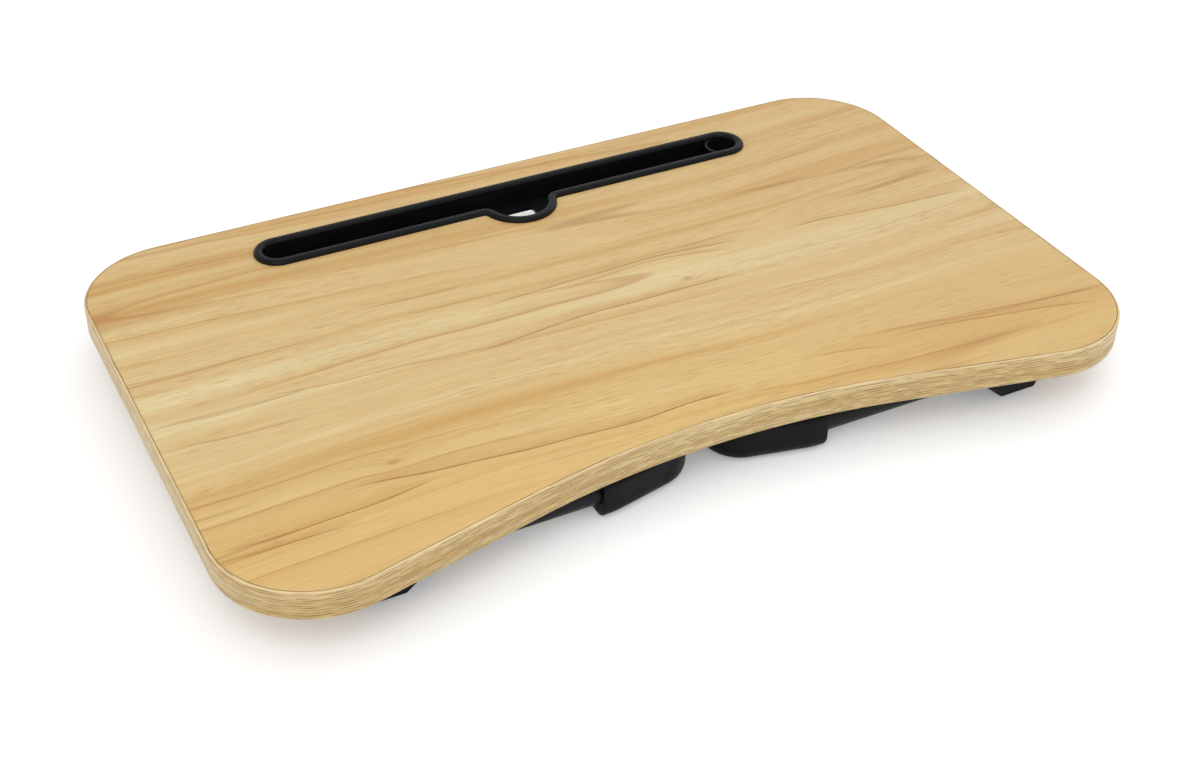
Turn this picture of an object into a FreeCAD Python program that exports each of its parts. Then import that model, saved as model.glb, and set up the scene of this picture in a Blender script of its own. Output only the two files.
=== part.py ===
"""Bed tray table: a wood-foil panel with a hollow front, a moulded tablet slot and two folding legs.

Millimetres. +X runs along the table's length to the right, +Y to its back edge, +Z up.
The origin is on the surface the folded table stands on, under the middle of the panel.
The legs are modelled folded flat under the panel, which is joint value 0.
"""
import FreeCAD, Part
import math
import os

from FreeCAD import Vector

# ---- panel ----
TOP_LENGTH = 600.0
TOP_DEPTH = 365.0
TOP_THICKNESS = 19.0
BACK_CORNER_R = 60.0
FRONT_CORNER_R = 60.0
RECESS_DEPTH = 38.0            # how far the front edge draws in at the middle
RECESS_FLANK = 106.0           # straight stretch between each front corner and the hollow
FOIL = 0.4                     # decor foil on each face of the core
BAND = 2.0                     # edge band thickness
BAND_ROUND = 1.4               # rounding of the band's outer edges
GLUE = 0.05                    # glue line between the band and the core

# ---- tablet slot insert ----
SLOT_FROM_BACK = 43.0          # middle of the slot to the back edge; it is centred along X
SLOT_LENGTH = 371.0            # over the rim
SLOT_WIDTH = 33.0              # over the rim
RIM_WIDTH = 6.4
RIM_HEIGHT = 3.0
RIM_ROUND = 2.6
RIM_OVERLAP = 4.0              # how much of the rim lies on the panel
BUMP_FROM_SLOT = 11.0          # middle of the cable notch in front of the slot's
BUMP_R = 27.0                  # over the rim
BUMP_BLEND = 3.0               # rounding where the notch meets the slot
INSERT_FLOOR = 2.0             # floor thickness
INSERT_DEPTH = 13.5            # panel face to the floor of the slot
WELL_WALL = 1.8                # curved wall between the slot and the pen well
ROUT_CLEARANCE = 0.3           # insert skirt to the routed hole

# ---- folding legs ----
PIVOT_FROM_END = 85.0          # pivot axis to the panel's end
PIVOT_DROP = 12.0              # pivot axis below the panel
FRONT_ARM_IN = 45.5            # front arms to the panel's front edge
BACK_ARM_IN = 71.5             # back arms to the panel's back edge
TUBE_R = 8.0
TUBE_WALL = 1.0
TUBE_FIT = 0.05                # radial clearance of plugs and sockets on the tubes
OPEN_DEG = 95.0                # how far a leg swings down from its folded place

# ---- corner feet ----
FOOT_GAP = 15.0                # between the toes of the two folded legs
FOOT_WIDTH = 23.0
FOOT_RISE = 11.5               # top of the foot above the tube axis
FOOT_SOLE = 15.0               # sole of the folded foot below the tube axis
FOOT_LENGTH = 69.0             # toe to the mouth on the arm tube
FOOT_BREADTH = 70.0            # arm's line to the mouth on the cross bar
FOOT_TAPER_DEG = 12.0          # slant of the outer side towards the toe
FOOT_TAPER_FROM = 8.0          # mouth to where the slant starts
FOOT_TAPER_BLEND = 60.0        # rounding where the slant starts
TOE_ROUND = 26.0               # rounding of the toe in plan
INSIDE_ROUND = 28.0            # rounding inside the elbow in plan
SOLE_ROUND = 9.0               # rounding of the sole's outer side
SOLE_INSIDE_ROUND = 5.5        # rounding of the sole inside the elbow
CROWN_CHAMFER = 3.0            # along the top
ARM_SOCKET = 21.5
BAR_SOCKET = 34.0
SOCKET_END = 0.1               # gap behind a tube in its socket
PAD_LENGTH = 24.0
PAD_WIDTH = 11.0
PAD_THICKNESS = 2.0
PAD_PROUD = 0.6
PAD_FIT = 0.1

# ---- hinge brackets ----
BRACKET_WIDTH = 42.0
BRACKET_INNER = 37.0           # pivot to the end nearer the middle of the table
BRACKET_OUTER = 22.0           # pivot to the end nearer the table's end
BRACKET_SOLE = 11.0            # pivot to the underside of the bracket
SOLE_INNER = 12.5              # flat underside, from the pivot inwards
SOLE_OUTER = 13.0              # flat underside, from the pivot outwards
BRACKET_LIP = 2.5
BRACKET_ROOF = 3.0
BRACKET_ROUND = 2.5            # rounding of the underside's corners
BRACKET_CHAMFER = 1.0          # along both sides
KNUCKLE_R = 8.5
KNUCKLE_WIDTH = 17.0
CHEEK_CLEARANCE = 0.25         # knuckle to each cheek
STOP_CLEARANCE = 0.3           # opened arm to the end wall
FLAT_DEPTH = 0.15              # depth of the knuckle's two locking flats
COLLAR_END = 13.0              # pivot to the end of the tube
COLLAR_CHAMFER = 2.5
PLUG_LENGTH = 34.0
PIN_R = 2.5
PIN_FIT = 0.05                 # radial running clearance in the knuckle
PIN_SEAT = 0.02                # radial clearance in the bracket
PIN_END_WALL = 4.0             # blind wall at the outer side

# ---- leaf springs ----
SPRING_THICKNESS = 0.6
SPRING_WIDTH = 12.0
SPRING_LENGTH = 31.0
SPRING_BOW_LENGTH = 18.0
SPRING_GAP = 0.3               # bow to the knuckle's flat
SPRING_FIT = 0.1

# ---- fasteners ----
SCREW_R = 2.0
SCREW_FIT = 0.05
SCREW_IN_PANEL = 11.0
SCREW_GRIP = 6.0               # bracket under the screw head
SCREW_HEAD_R = 3.6
SCREW_HEAD_H = 2.4
SCREW_HEAD_FIT = 0.6
SCREW_INNER_X = 19.0           # pivot to the inner screws
SCREW_OUTER_X = 14.5           # pivot to the outer screws
FOOT_SCREW_R = 1.5
FOOT_SCREW_LENGTH = 6.0
FOOT_SCREW_HEAD_R = 2.8
FOOT_SCREW_HEAD_H = 1.8
FOOT_SCREW_SINK = 2.0
FOOT_SCREW_FROM_MOUTH = 11.0
RIVET_R = 1.5
RIVET_FIT = 0.05
RIVET_HEAD_R = 3.0
RIVET_HEAD_H = 0.9
RIVET_FROM_TUBE_END = 28.0

# ---- places that follow from the sizes ----
SLOT_Y = TOP_DEPTH / 2 - SLOT_FROM_BACK
BUMP_Y = SLOT_Y - BUMP_FROM_SLOT
FRONT_ARM_Y = FRONT_ARM_IN - TOP_DEPTH / 2
BACK_ARM_Y = TOP_DEPTH / 2 - BACK_ARM_IN
PIVOT_X = TOP_LENGTH / 2 - PIVOT_FROM_END
PIVOT_Z = FOOT_SOLE
PANEL_UNDER = PIVOT_Z + PIVOT_DROP
PANEL_TOP = PANEL_UNDER + TOP_THICKNESS
TOE_X = FOOT_GAP / 2
BAR_X = TOE_X + FOOT_WIDTH / 2
MOUTH_X = TOE_X + FOOT_LENGTH
FOOT_SCREW_X = MOUTH_X - FOOT_SCREW_FROM_MOUTH
CHEEK_Y = KNUCKLE_WIDTH / 2 + CHEEK_CLEARANCE
BRACKET_SCREW_Y = (CHEEK_Y + BRACKET_WIDTH / 2) / 2

AXES = {"x": Vector(1, 0, 0), "y": Vector(0, 1, 0), "z": Vector(0, 0, 1)}


def box(x0, x1, y0, y1, z0, z1):
    """Block between two corners."""
    return Part.makeBox(x1 - x0, y1 - y0, z1 - z0, Vector(x0, y0, z0))


def rod(axis, radius, start, end, a=0.0, b=0.0):
    """Cylinder along an axis; a and b are its place on the other two axes, in X, Y, Z order."""
    base = {"x": Vector(start, a, b), "y": Vector(a, start, b), "z": Vector(a, b, start)}[axis]
    return Part.makeCylinder(radius, end - start, base, AXES[axis])


def arc(cx, cy, radius, start_deg, end_deg):
    """Arc in the XY plane, anticlockwise from start to end."""
    circle = Part.Circle(Vector(cx, cy, 0), AXES["z"], radius)
    return Part.ArcOfCircle(circle, math.radians(start_deg), math.radians(end_deg)).toShape()


def line(x0, y0, x1, y1):
    return Part.LineSegment(Vector(x0, y0, 0), Vector(x1, y1, 0)).toShape()


def prism(edges, z0, z1):
    """Solid with the given XY outline between two heights."""
    face = Part.Face(Part.Wire(Part.__sortEdges__(edges)))
    face.translate(Vector(0, 0, z0))
    return face.extrude(Vector(0, 0, z1 - z0))


def side_profile(points, y0, y1):
    """Solid with the given XZ outline between two Y planes."""
    corners = [Vector(x, y0, z) for x, z in points]
    face = Part.Face(Part.makePolygon(corners + corners[:1]))
    return face.extrude(Vector(0, y1 - y0, 0))


def chosen(shape, test):
    """Edges whose box passes the test."""
    return [edge for edge in shape.Edges if test(edge.BoundBox)]


def level(bounds, z):
    """True for an edge that lies flat at height z."""
    return abs(bounds.ZMin - z) < 1e-4 and abs(bounds.ZMax - z) < 1e-4


# ---- panel ----
def recess_slope():
    """Angle of the straight flank, found by halving: flank and hollow arc add up to the recess."""
    low, high = 0.0, math.radians(60)
    for _ in range(60):
        angle = (low + high) / 2
        corner_end = TOP_LENGTH / 2 - FRONT_CORNER_R * (1 + math.sin(angle))
        rise = RECESS_FLANK * math.sin(angle)
        rise += (corner_end - RECESS_FLANK * math.cos(angle)) * math.tan(angle / 2)
        rise += FRONT_CORNER_R * (1 - math.cos(angle))
        low, high = (angle, high) if rise < RECESS_DEPTH else (low, angle)
    return angle


SLOPE = recess_slope()
HOLLOW_R = (TOP_LENGTH / 2 - FRONT_CORNER_R * (1 + math.sin(SLOPE))
            - RECESS_FLANK * math.cos(SLOPE)) / math.sin(SLOPE)
HOLLOW_Y = RECESS_DEPTH - TOP_DEPTH / 2 - HOLLOW_R


def panel_outline(inset):
    """Outline of the panel, drawn in by inset all round: every arc keeps its centre."""
    half, depth = TOP_LENGTH / 2, TOP_DEPTH / 2
    back_r, front_r = BACK_CORNER_R - inset, FRONT_CORNER_R - inset
    back_x, back_y = half - BACK_CORNER_R, depth - BACK_CORNER_R
    front_x, front_y = half - FRONT_CORNER_R, FRONT_CORNER_R - depth
    hollow_r = HOLLOW_R + inset
    turn = math.degrees(SLOPE)
    foot_x = front_x - front_r * math.sin(SLOPE)
    foot_y = front_y - front_r * math.cos(SLOPE)
    arc_x, arc_y = hollow_r * math.sin(SLOPE), HOLLOW_Y + hollow_r * math.cos(SLOPE)
    return [
        line(-back_x, depth - inset, back_x, depth - inset),
        arc(back_x, back_y, back_r, 0, 90),
        line(half - inset, front_y, half - inset, back_y),
        arc(front_x, front_y, front_r, -90 - turn, 0),
        line(foot_x, foot_y, arc_x, arc_y),
        arc(0, HOLLOW_Y, hollow_r, 90 - turn, 90 + turn),
        line(-arc_x, arc_y, -foot_x, foot_y),
        arc(-front_x, front_y, front_r, 180, 270 + turn),
        line(-(half - inset), front_y, -(half - inset), back_y),
        arc(-back_x, back_y, back_r, 90, 180),
    ]


def slot_prism(inset, z0, z1, with_notch=True):
    """Round-ended slot and its cable notch, drawn in by inset, between two heights."""
    end_r = SLOT_WIDTH / 2 - inset
    end_x = (SLOT_LENGTH - SLOT_WIDTH) / 2
    slot = prism([
        line(-end_x, SLOT_Y - end_r, end_x, SLOT_Y - end_r),
        arc(end_x, SLOT_Y, end_r, -90, 90),
        line(end_x, SLOT_Y + end_r, -end_x, SLOT_Y + end_r),
        arc(-end_x, SLOT_Y, end_r, 90, 270),
    ], z0, z1)
    if not with_notch:
        return slot
    notch = rod("z", BUMP_R - inset, z0, z1, 0, BUMP_Y)
    notch = notch.common(box(-BUMP_R, BUMP_R, BUMP_Y - BUMP_R, SLOT_Y, z0, z1))
    joined = slot.fuse(notch).removeSplitter()
    front = SLOT_Y - end_r
    corners = chosen(joined, lambda b: b.ZLength > (z1 - z0) / 2 and abs(b.YMin - front) < 1e-3
                     and abs(b.XMin) < BUMP_R)
    return joined.makeFillet(BUMP_BLEND + inset, corners)


def routed_hole(z0, z1):
    """Hole through the panel that takes the insert's skirt."""
    return slot_prism(RIM_OVERLAP - ROUT_CLEARANCE, z0, z1)


def bracket_places():
    """Pivot X, arm Y, side and front-or-back sign of each hinge."""
    return [(side * PIVOT_X, y, side, end)
            for side in (-1, 1) for y, end in ((FRONT_ARM_Y, 1), (BACK_ARM_Y, -1))]


def bracket_screw_places():
    """Centres of the screws that hold the four brackets."""
    return [(x - side * along, y + across)
            for x, y, side, end in bracket_places()
            for along, across in ((SCREW_INNER_X, -end * BRACKET_SCREW_Y),
                                  (-SCREW_OUTER_X, end * BRACKET_SCREW_Y))]


def panel_core():
    """Fibreboard core with the routed hole and blind screw holes."""
    low, high = PANEL_UNDER + FOIL, PANEL_TOP - FOIL
    core = prism(panel_outline(BAND + GLUE), low, high).cut(routed_hole(low, high))
    holes = [rod("z", SCREW_R + SCREW_FIT, low, PANEL_UNDER + SCREW_IN_PANEL + SCREW_FIT, x, y)
             for x, y in bracket_screw_places()]
    return core.cut(holes)


def top_foil():
    low, high = PANEL_TOP - FOIL, PANEL_TOP
    return prism(panel_outline(BAND + GLUE), low, high).cut(routed_hole(low, high))


def bottom_foil():
    low, high = PANEL_UNDER, PANEL_UNDER + FOIL
    foil = prism(panel_outline(BAND + GLUE), low, high).cut(routed_hole(low, high))
    return foil.cut([rod("z", SCREW_R + SCREW_FIT, low, high, x, y) for x, y in bracket_screw_places()])


def edge_band():
    """Band round the panel's edge, with rounded outer edges."""
    outer = prism(panel_outline(0), PANEL_UNDER, PANEL_TOP)
    rims = chosen(outer, lambda b: level(b, PANEL_UNDER) or level(b, PANEL_TOP))
    outer = outer.makeFillet(BAND_ROUND, rims)
    return outer.cut(prism(panel_outline(BAND), PANEL_UNDER, PANEL_TOP))


def slot_insert():
    """Moulded insert: rounded rim, skirt, slot floor, open cable notch and round pen well."""
    floor_top = PANEL_TOP - INSERT_DEPTH
    floor_low = floor_top - INSERT_FLOOR
    rim_top = PANEL_TOP + RIM_HEIGHT
    rim = slot_prism(0, PANEL_TOP, rim_top).cut(slot_prism(RIM_WIDTH, PANEL_TOP, rim_top))
    rim = rim.makeFillet(RIM_ROUND, chosen(rim, lambda b: level(b, rim_top)))
    skirt = slot_prism(RIM_OVERLAP, floor_low, PANEL_TOP)
    skirt = skirt.cut(slot_prism(RIM_WIDTH, floor_low, PANEL_TOP))
    floor = slot_prism(RIM_WIDTH, floor_low, floor_top, with_notch=False)
    well_r = SLOT_WIDTH / 2 - RIM_WIDTH
    well_x = (SLOT_LENGTH - SLOT_WIDTH) / 2
    divider = rod("z", well_r + WELL_WALL, floor_low, PANEL_TOP, well_x, SLOT_Y)
    divider = divider.common(slot_prism(RIM_WIDTH, floor_low, PANEL_TOP, with_notch=False))
    divider = divider.cut(rod("z", well_r, floor_low, PANEL_TOP, well_x, SLOT_Y))
    return rim.fuse([skirt, floor, divider]).removeSplitter()


# ---- hinges, drawn with the pivot at the origin, the table's end at +X and the front at -Y ----
def placed(shape, x, y, side, end):
    """Copy of a hinge piece at one corner: mirrored for the left side and for the back."""
    copy = shape
    if side < 0:
        copy = copy.mirror(Vector(0, 0, 0), AXES["x"])
    if end < 0:
        copy = copy.mirror(Vector(0, 0, 0), AXES["y"])
    return copy.translated(Vector(x, y, PIVOT_Z))


def hinge_bracket():
    """Moulded bracket: two wedge cheeks, roof with a spring window and an end wall as the stop."""
    lip = PIVOT_DROP - BRACKET_LIP
    half = BRACKET_WIDTH / 2
    body = side_profile([
        (-BRACKET_INNER, PIVOT_DROP), (-BRACKET_INNER, lip), (-SOLE_INNER, -BRACKET_SOLE),
        (SOLE_OUTER, -BRACKET_SOLE), (BRACKET_OUTER, lip), (BRACKET_OUTER, PIVOT_DROP)], -half, half)
    body = body.makeFillet(BRACKET_ROUND, chosen(body, lambda b: b.YLength > half
                                                 and b.ZMin < PIVOT_DROP - 1e-4))
    body = body.makeChamfer(BRACKET_CHAMFER, chosen(body, lambda b: b.YLength < 1e-4
                                                    and b.ZMin < PIVOT_DROP - 1e-4))
    lean = math.radians(OPEN_DEG - 90)
    wall = TUBE_R / math.cos(lean) + BRACKET_SOLE * math.tan(lean) + STOP_CLEARANCE
    roof = PIVOT_DROP - BRACKET_ROOF
    body = body.cut(box(-BRACKET_INNER, wall, -CHEEK_Y, CHEEK_Y, -BRACKET_SOLE, roof))
    spring_y = SPRING_WIDTH / 2 + SPRING_FIT
    window = SPRING_BOW_LENGTH / 2 + SPRING_FIT
    body = body.cut(box(-window, window, -spring_y, spring_y, roof, PIVOT_DROP))
    seat = SPRING_LENGTH / 2 + SPRING_FIT
    seat_low = PIVOT_DROP - SPRING_THICKNESS - SPRING_FIT
    body = body.cut(box(-seat, seat, -spring_y, spring_y, seat_low, PIVOT_DROP))
    body = body.cut(rod("y", PIN_R + PIN_SEAT, PIN_END_WALL - half, half))
    head_seat = PIVOT_DROP - SCREW_GRIP
    for along, across in ((-SCREW_INNER_X, -BRACKET_SCREW_Y), (SCREW_OUTER_X, BRACKET_SCREW_Y)):
        body = body.cut(rod("z", SCREW_R + SCREW_FIT, head_seat, PIVOT_DROP, along, across))
        body = body.cut(rod("z", SCREW_HEAD_R + SCREW_HEAD_FIT, -BRACKET_SOLE, head_seat, along, across))
    return body


def hinge_pin():
    """Steel pin, blind at its outer end, with a chamfer on each end."""
    half = BRACKET_WIDTH / 2
    pin = rod("y", PIN_R, PIN_END_WALL - half + SPRING_FIT, half - BRACKET_ROUND)
    return pin.makeChamfer(PIN_R / 5, [edge for edge in pin.Edges if edge.BoundBox.YLength < 1e-4])


def leaf_spring():
    """Spring strip: flat ends in the bracket's seat, bowed down to the knuckle in the window."""
    top = PIVOT_DROP - SPRING_FIT / 2
    low = top - SPRING_THICKNESS
    bow = KNUCKLE_R - FLAT_DEPTH + SPRING_GAP
    sag = low - bow
    reach, tip = SPRING_BOW_LENGTH / 2 - SPRING_FIT, SPRING_LENGTH / 2
    half = SPRING_WIDTH / 2

    def curve(z):
        return Part.Arc(Vector(-reach, -half, z), Vector(0, -half, z - sag),
                        Vector(reach, -half, z)).toShape()

    def run(x0, z0, x1, z1):
        return Part.LineSegment(Vector(x0, -half, z0), Vector(x1, -half, z1)).toShape()

    edges = [curve(top), curve(low), run(-tip, top, -reach, top), run(reach, top, tip, top),
             run(-tip, low, -reach, low), run(reach, low, tip, low),
             run(-tip, low, -tip, top), run(tip, low, tip, top)]
    face = Part.Face(Part.Wire(Part.__sortEdges__(edges)))
    return face.extrude(Vector(0, SPRING_WIDTH, 0))


def knuckle():
    """Moulded end of an arm: barrel with two locking flats, collar and plug."""
    half = KNUCKLE_WIDTH / 2
    barrel = rod("y", KNUCKLE_R, -half, half)
    plug_r = TUBE_R - TUBE_WALL - TUBE_FIT
    collar = box(-COLLAR_END, 0, -half, half, -TUBE_R, TUBE_R)
    collar = collar.makeChamfer(COLLAR_CHAMFER, chosen(collar, lambda b: b.XLength > 1e-4))
    shape = barrel.fuse([collar, rod("x", plug_r, -COLLAR_END - PLUG_LENGTH, -COLLAR_END)])
    flat = KNUCKLE_R - FLAT_DEPTH
    keep = box(-KNUCKLE_R, KNUCKLE_R, -half, half, flat, 2 * KNUCKLE_R)
    opened = keep.copy()
    opened.rotate(Vector(0, 0, 0), AXES["y"], OPEN_DEG)
    shape = shape.cut([keep, opened, rod("y", PIN_R + PIN_FIT, -half, half)])
    rivet_x = -COLLAR_END - RIVET_FROM_TUBE_END
    return shape.cut(rod("z", RIVET_R + RIVET_FIT, -TUBE_R, TUBE_R, rivet_x)).removeSplitter()


def bracket_screws():
    """Pan-head screws that hold the brackets to the panel, two to a bracket."""
    seat = PANEL_UNDER - SCREW_GRIP
    screws = []
    for x, y in bracket_screw_places():
        head = rod("z", SCREW_HEAD_R, seat - SCREW_HEAD_H, seat, x, y)
        screws.append(head.fuse(rod("z", SCREW_R, seat, PANEL_UNDER + SCREW_IN_PANEL, x, y)))
    return Part.Compound(screws)


# ---- legs, drawn for the right side; y is the arm's line, end is 1 at the front and -1 at the back ----
def arm_tube(y):
    """Tube from the knuckle to the corner foot."""
    start, stop = MOUTH_X - ARM_SOCKET + SOCKET_END, PIVOT_X - COLLAR_END
    tube = rod("x", TUBE_R, start, stop, y, PIVOT_Z)
    tube = tube.cut(rod("x", TUBE_R - TUBE_WALL, start, stop, y, PIVOT_Z))
    rivet = rod("z", RIVET_R + RIVET_FIT, 0, PANEL_UNDER, stop - RIVET_FROM_TUBE_END, y)
    return tube.cut([rivet, rod("z", FOOT_SCREW_R + SCREW_FIT, PIVOT_Z, PANEL_UNDER, FOOT_SCREW_X, y)])


def cross_bar():
    """Tube caught between the two feet of a leg."""
    reach = FOOT_BREADTH - BAR_SOCKET + SOCKET_END
    start, stop = FRONT_ARM_Y + reach, BACK_ARM_Y - reach
    tube = rod("y", TUBE_R, start, stop, BAR_X, PIVOT_Z)
    return tube.cut(rod("y", TUBE_R - TUBE_WALL, start, stop, BAR_X, PIVOT_Z))


def foot_outline():
    """Plan of a corner foot with the arm along X at Y = 0: slanted outer side, round toe, elbow."""
    half = FOOT_WIDTH / 2
    taper = math.radians(FOOT_TAPER_DEG)
    turn = 270 - FOOT_TAPER_DEG
    slant_x, slant_y = MOUTH_X - FOOT_TAPER_FROM, -half
    blend_x = slant_x + FOOT_TAPER_BLEND * math.tan(taper / 2)
    blend_y = slant_y + FOOT_TAPER_BLEND
    toe_x = TOE_X + TOE_ROUND
    toe_y = slant_y + (TOE_ROUND - (toe_x - slant_x) * math.sin(taper)) / math.cos(taper)
    inside_x, inside_y = BAR_X + half, half
    return [
        line(MOUTH_X, -half, blend_x, -half),
        arc(blend_x, blend_y, FOOT_TAPER_BLEND, turn, 270),
        line(blend_x - FOOT_TAPER_BLEND * math.sin(taper), blend_y - FOOT_TAPER_BLEND * math.cos(taper),
             toe_x - TOE_ROUND * math.sin(taper), toe_y - TOE_ROUND * math.cos(taper)),
        arc(toe_x, toe_y, TOE_ROUND, 180, turn),
        line(TOE_X, toe_y, TOE_X, FOOT_BREADTH),
        line(TOE_X, FOOT_BREADTH, inside_x, FOOT_BREADTH),
        line(inside_x, FOOT_BREADTH, inside_x, inside_y + INSIDE_ROUND),
        arc(inside_x + INSIDE_ROUND, inside_y + INSIDE_ROUND, INSIDE_ROUND, 180, 270),
        line(inside_x + INSIDE_ROUND, inside_y, MOUTH_X, inside_y),
        line(MOUTH_X, inside_y, MOUTH_X, -half),
    ]


def corner_foot(y, end):
    """Moulded elbow foot: rounded band round the corner with a socket for each tube."""
    low, high = PIVOT_Z - FOOT_SOLE, PIVOT_Z + FOOT_RISE
    foot = prism(foot_outline(), low, high)

    def outer_side(b):
        toe = b.XMin < TOE_X + 1e-4 and b.XMax < TOE_X + FOOT_WIDTH - 1e-4
        return b.YMax < FOOT_WIDTH / 2 - 1e-4 or toe

    def between_mouths(b, z):
        return level(b, z) and b.XMin < MOUTH_X - 1e-4 and b.YMin < FOOT_BREADTH - 1e-4

    foot = foot.makeFillet(SOLE_ROUND, chosen(foot, lambda b: between_mouths(b, low) and outer_side(b)))
    foot = foot.makeFillet(SOLE_INSIDE_ROUND, chosen(
        foot, lambda b: between_mouths(b, low) and b.YMax > FOOT_WIDTH / 2 - 1e-4
        and b.XMin > TOE_X + FOOT_WIDTH - 1e-4))
    foot = foot.makeChamfer(CROWN_CHAMFER, chosen(foot, lambda b: between_mouths(b, high)))
    socket_r = TUBE_R + TUBE_FIT
    foot = foot.cut([
        rod("x", socket_r, MOUTH_X - ARM_SOCKET, MOUTH_X, 0, PIVOT_Z),
        rod("y", socket_r, FOOT_BREADTH - BAR_SOCKET, FOOT_BREADTH, BAR_X, PIVOT_Z)])
    pad = PAD_THICKNESS - PAD_PROUD
    pad_y, pad_z = pad_centre()
    foot = foot.cut(box(TOE_X, TOE_X + pad, pad_y - PAD_LENGTH / 2 - PAD_FIT,
                        pad_y + PAD_LENGTH / 2 + PAD_FIT, pad_z - PAD_WIDTH / 2 - PAD_FIT,
                        pad_z + PAD_WIDTH / 2 + PAD_FIT))
    foot = foot.cut([
        rod("z", FOOT_SCREW_R + SCREW_FIT, PIVOT_Z, high, FOOT_SCREW_X, 0),
        rod("z", FOOT_SCREW_HEAD_R + SCREW_FIT, high - FOOT_SCREW_SINK, high, FOOT_SCREW_X, 0)])
    return at_arm(foot, y, end)


def at_arm(shape, y, end):
    """Moves a foot piece to its arm: turned over for the back one."""
    if end < 0:
        shape = shape.mirror(Vector(0, 0, 0), AXES["y"])
    return shape.translated(Vector(0, y, 0))


def pad_centre():
    """Middle of the anti-slip pad on the toe face, from the arm's line."""
    return FOOT_BREADTH - BAR_SOCKET / 2, PIVOT_Z + (FOOT_RISE - FOOT_SOLE) / 2


def foot_pad(y, end):
    """Rubber pad let into the toe face."""
    pad_y, pad_z = pad_centre()
    pad = box(TOE_X - PAD_PROUD, TOE_X + PAD_THICKNESS - PAD_PROUD, pad_y - PAD_LENGTH / 2,
              pad_y + PAD_LENGTH / 2, pad_z - PAD_WIDTH / 2, pad_z + PAD_WIDTH / 2)
    pad = pad.makeFillet(PAD_PROUD / 2, chosen(pad, lambda b: b.XMax < TOE_X - PAD_PROUD / 2))
    return at_arm(pad, y, end)


def foot_screws():
    """Two screws that hold the arm tubes in a leg's feet."""
    seat = PIVOT_Z + FOOT_RISE - FOOT_SCREW_SINK
    screws = []
    for y in (FRONT_ARM_Y, BACK_ARM_Y):
        head = rod("z", FOOT_SCREW_HEAD_R, seat, seat + FOOT_SCREW_HEAD_H, FOOT_SCREW_X, y)
        shank = rod("z", FOOT_SCREW_R, seat - FOOT_SCREW_LENGTH, seat, FOOT_SCREW_X, y)
        screws.append(head.fuse(shank))
    return Part.Compound(screws)


def knuckle_rivets():
    """Two rivets that hold the knuckles in a leg's arm tubes."""
    x = PIVOT_X - COLLAR_END - RIVET_FROM_TUBE_END
    rivets = []
    for y in (FRONT_ARM_Y, BACK_ARM_Y):
        shank = rod("z", RIVET_R, PIVOT_Z - TUBE_R, PIVOT_Z + TUBE_R, x, y)
        top = rod("z", RIVET_HEAD_R, PIVOT_Z + TUBE_R, PIVOT_Z + TUBE_R + RIVET_HEAD_H, x, y)
        low = rod("z", RIVET_HEAD_R, PIVOT_Z - TUBE_R - RIVET_HEAD_H, PIVOT_Z - TUBE_R, x, y)
        rivets.append(shank.fuse([top, low]))
    return Part.Compound(rivets)


def panel_nodes():
    return {"panel_core": panel_core(), "top_foil": top_foil(), "bottom_foil": bottom_foil(),
            "edge_band": edge_band(), "slot_insert": slot_insert(), "bracket_screws": bracket_screws()}


def hinge_nodes():
    """Bracket, pin, spring and knuckle at each of the four corners."""
    pieces = {"hinge_bracket": hinge_bracket(), "hinge_pin": hinge_pin(),
              "leaf_spring": leaf_spring(), "knuckle": knuckle()}
    nodes = {}
    for x, y, side, end in bracket_places():
        corner = ("left" if side < 0 else "right") + ("_front" if end > 0 else "_back")
        for name, shape in pieces.items():
            nodes[corner + "_" + name] = placed(shape, x, y, side, end)
    return nodes


def leg_nodes():
    """Tubes, feet, pads, screws and rivets of both legs; the left leg mirrors the right."""
    right = {"cross_bar": cross_bar(), "foot_screws": foot_screws(), "knuckle_rivets": knuckle_rivets()}
    for y, end, name in ((FRONT_ARM_Y, 1, "front"), (BACK_ARM_Y, -1, "back")):
        right[name + "_arm_tube"] = arm_tube(y)
        right[name + "_foot"] = corner_foot(y, end)
        right[name + "_foot_pad"] = foot_pad(y, end)
    nodes = {}
    for name, shape in right.items():
        nodes["right_" + name] = shape
        nodes["left_" + name] = shape.mirror(Vector(0, 0, 0), AXES["x"])
    return nodes


def main():
    os.makedirs("parts", exist_ok=True)
    for nodes in (panel_nodes(), hinge_nodes(), leg_nodes()):
        for name, shape in nodes.items():
            shape.exportStep("parts/" + name + ".step")


main()
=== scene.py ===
"""Bed tray table with a tablet slot and folding legs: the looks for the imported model.

Everything is in metres, in the model's own frame: X along the board, Y from the user to the slot, Z up,
with the folded feet standing on Z = 0.
"""
import math
from functools import partial
from itertools import chain

import bpy
import numpy as np
from bpy.props import FloatProperty, FloatVectorProperty, PointerProperty
from mathutils import Matrix, Vector


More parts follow.
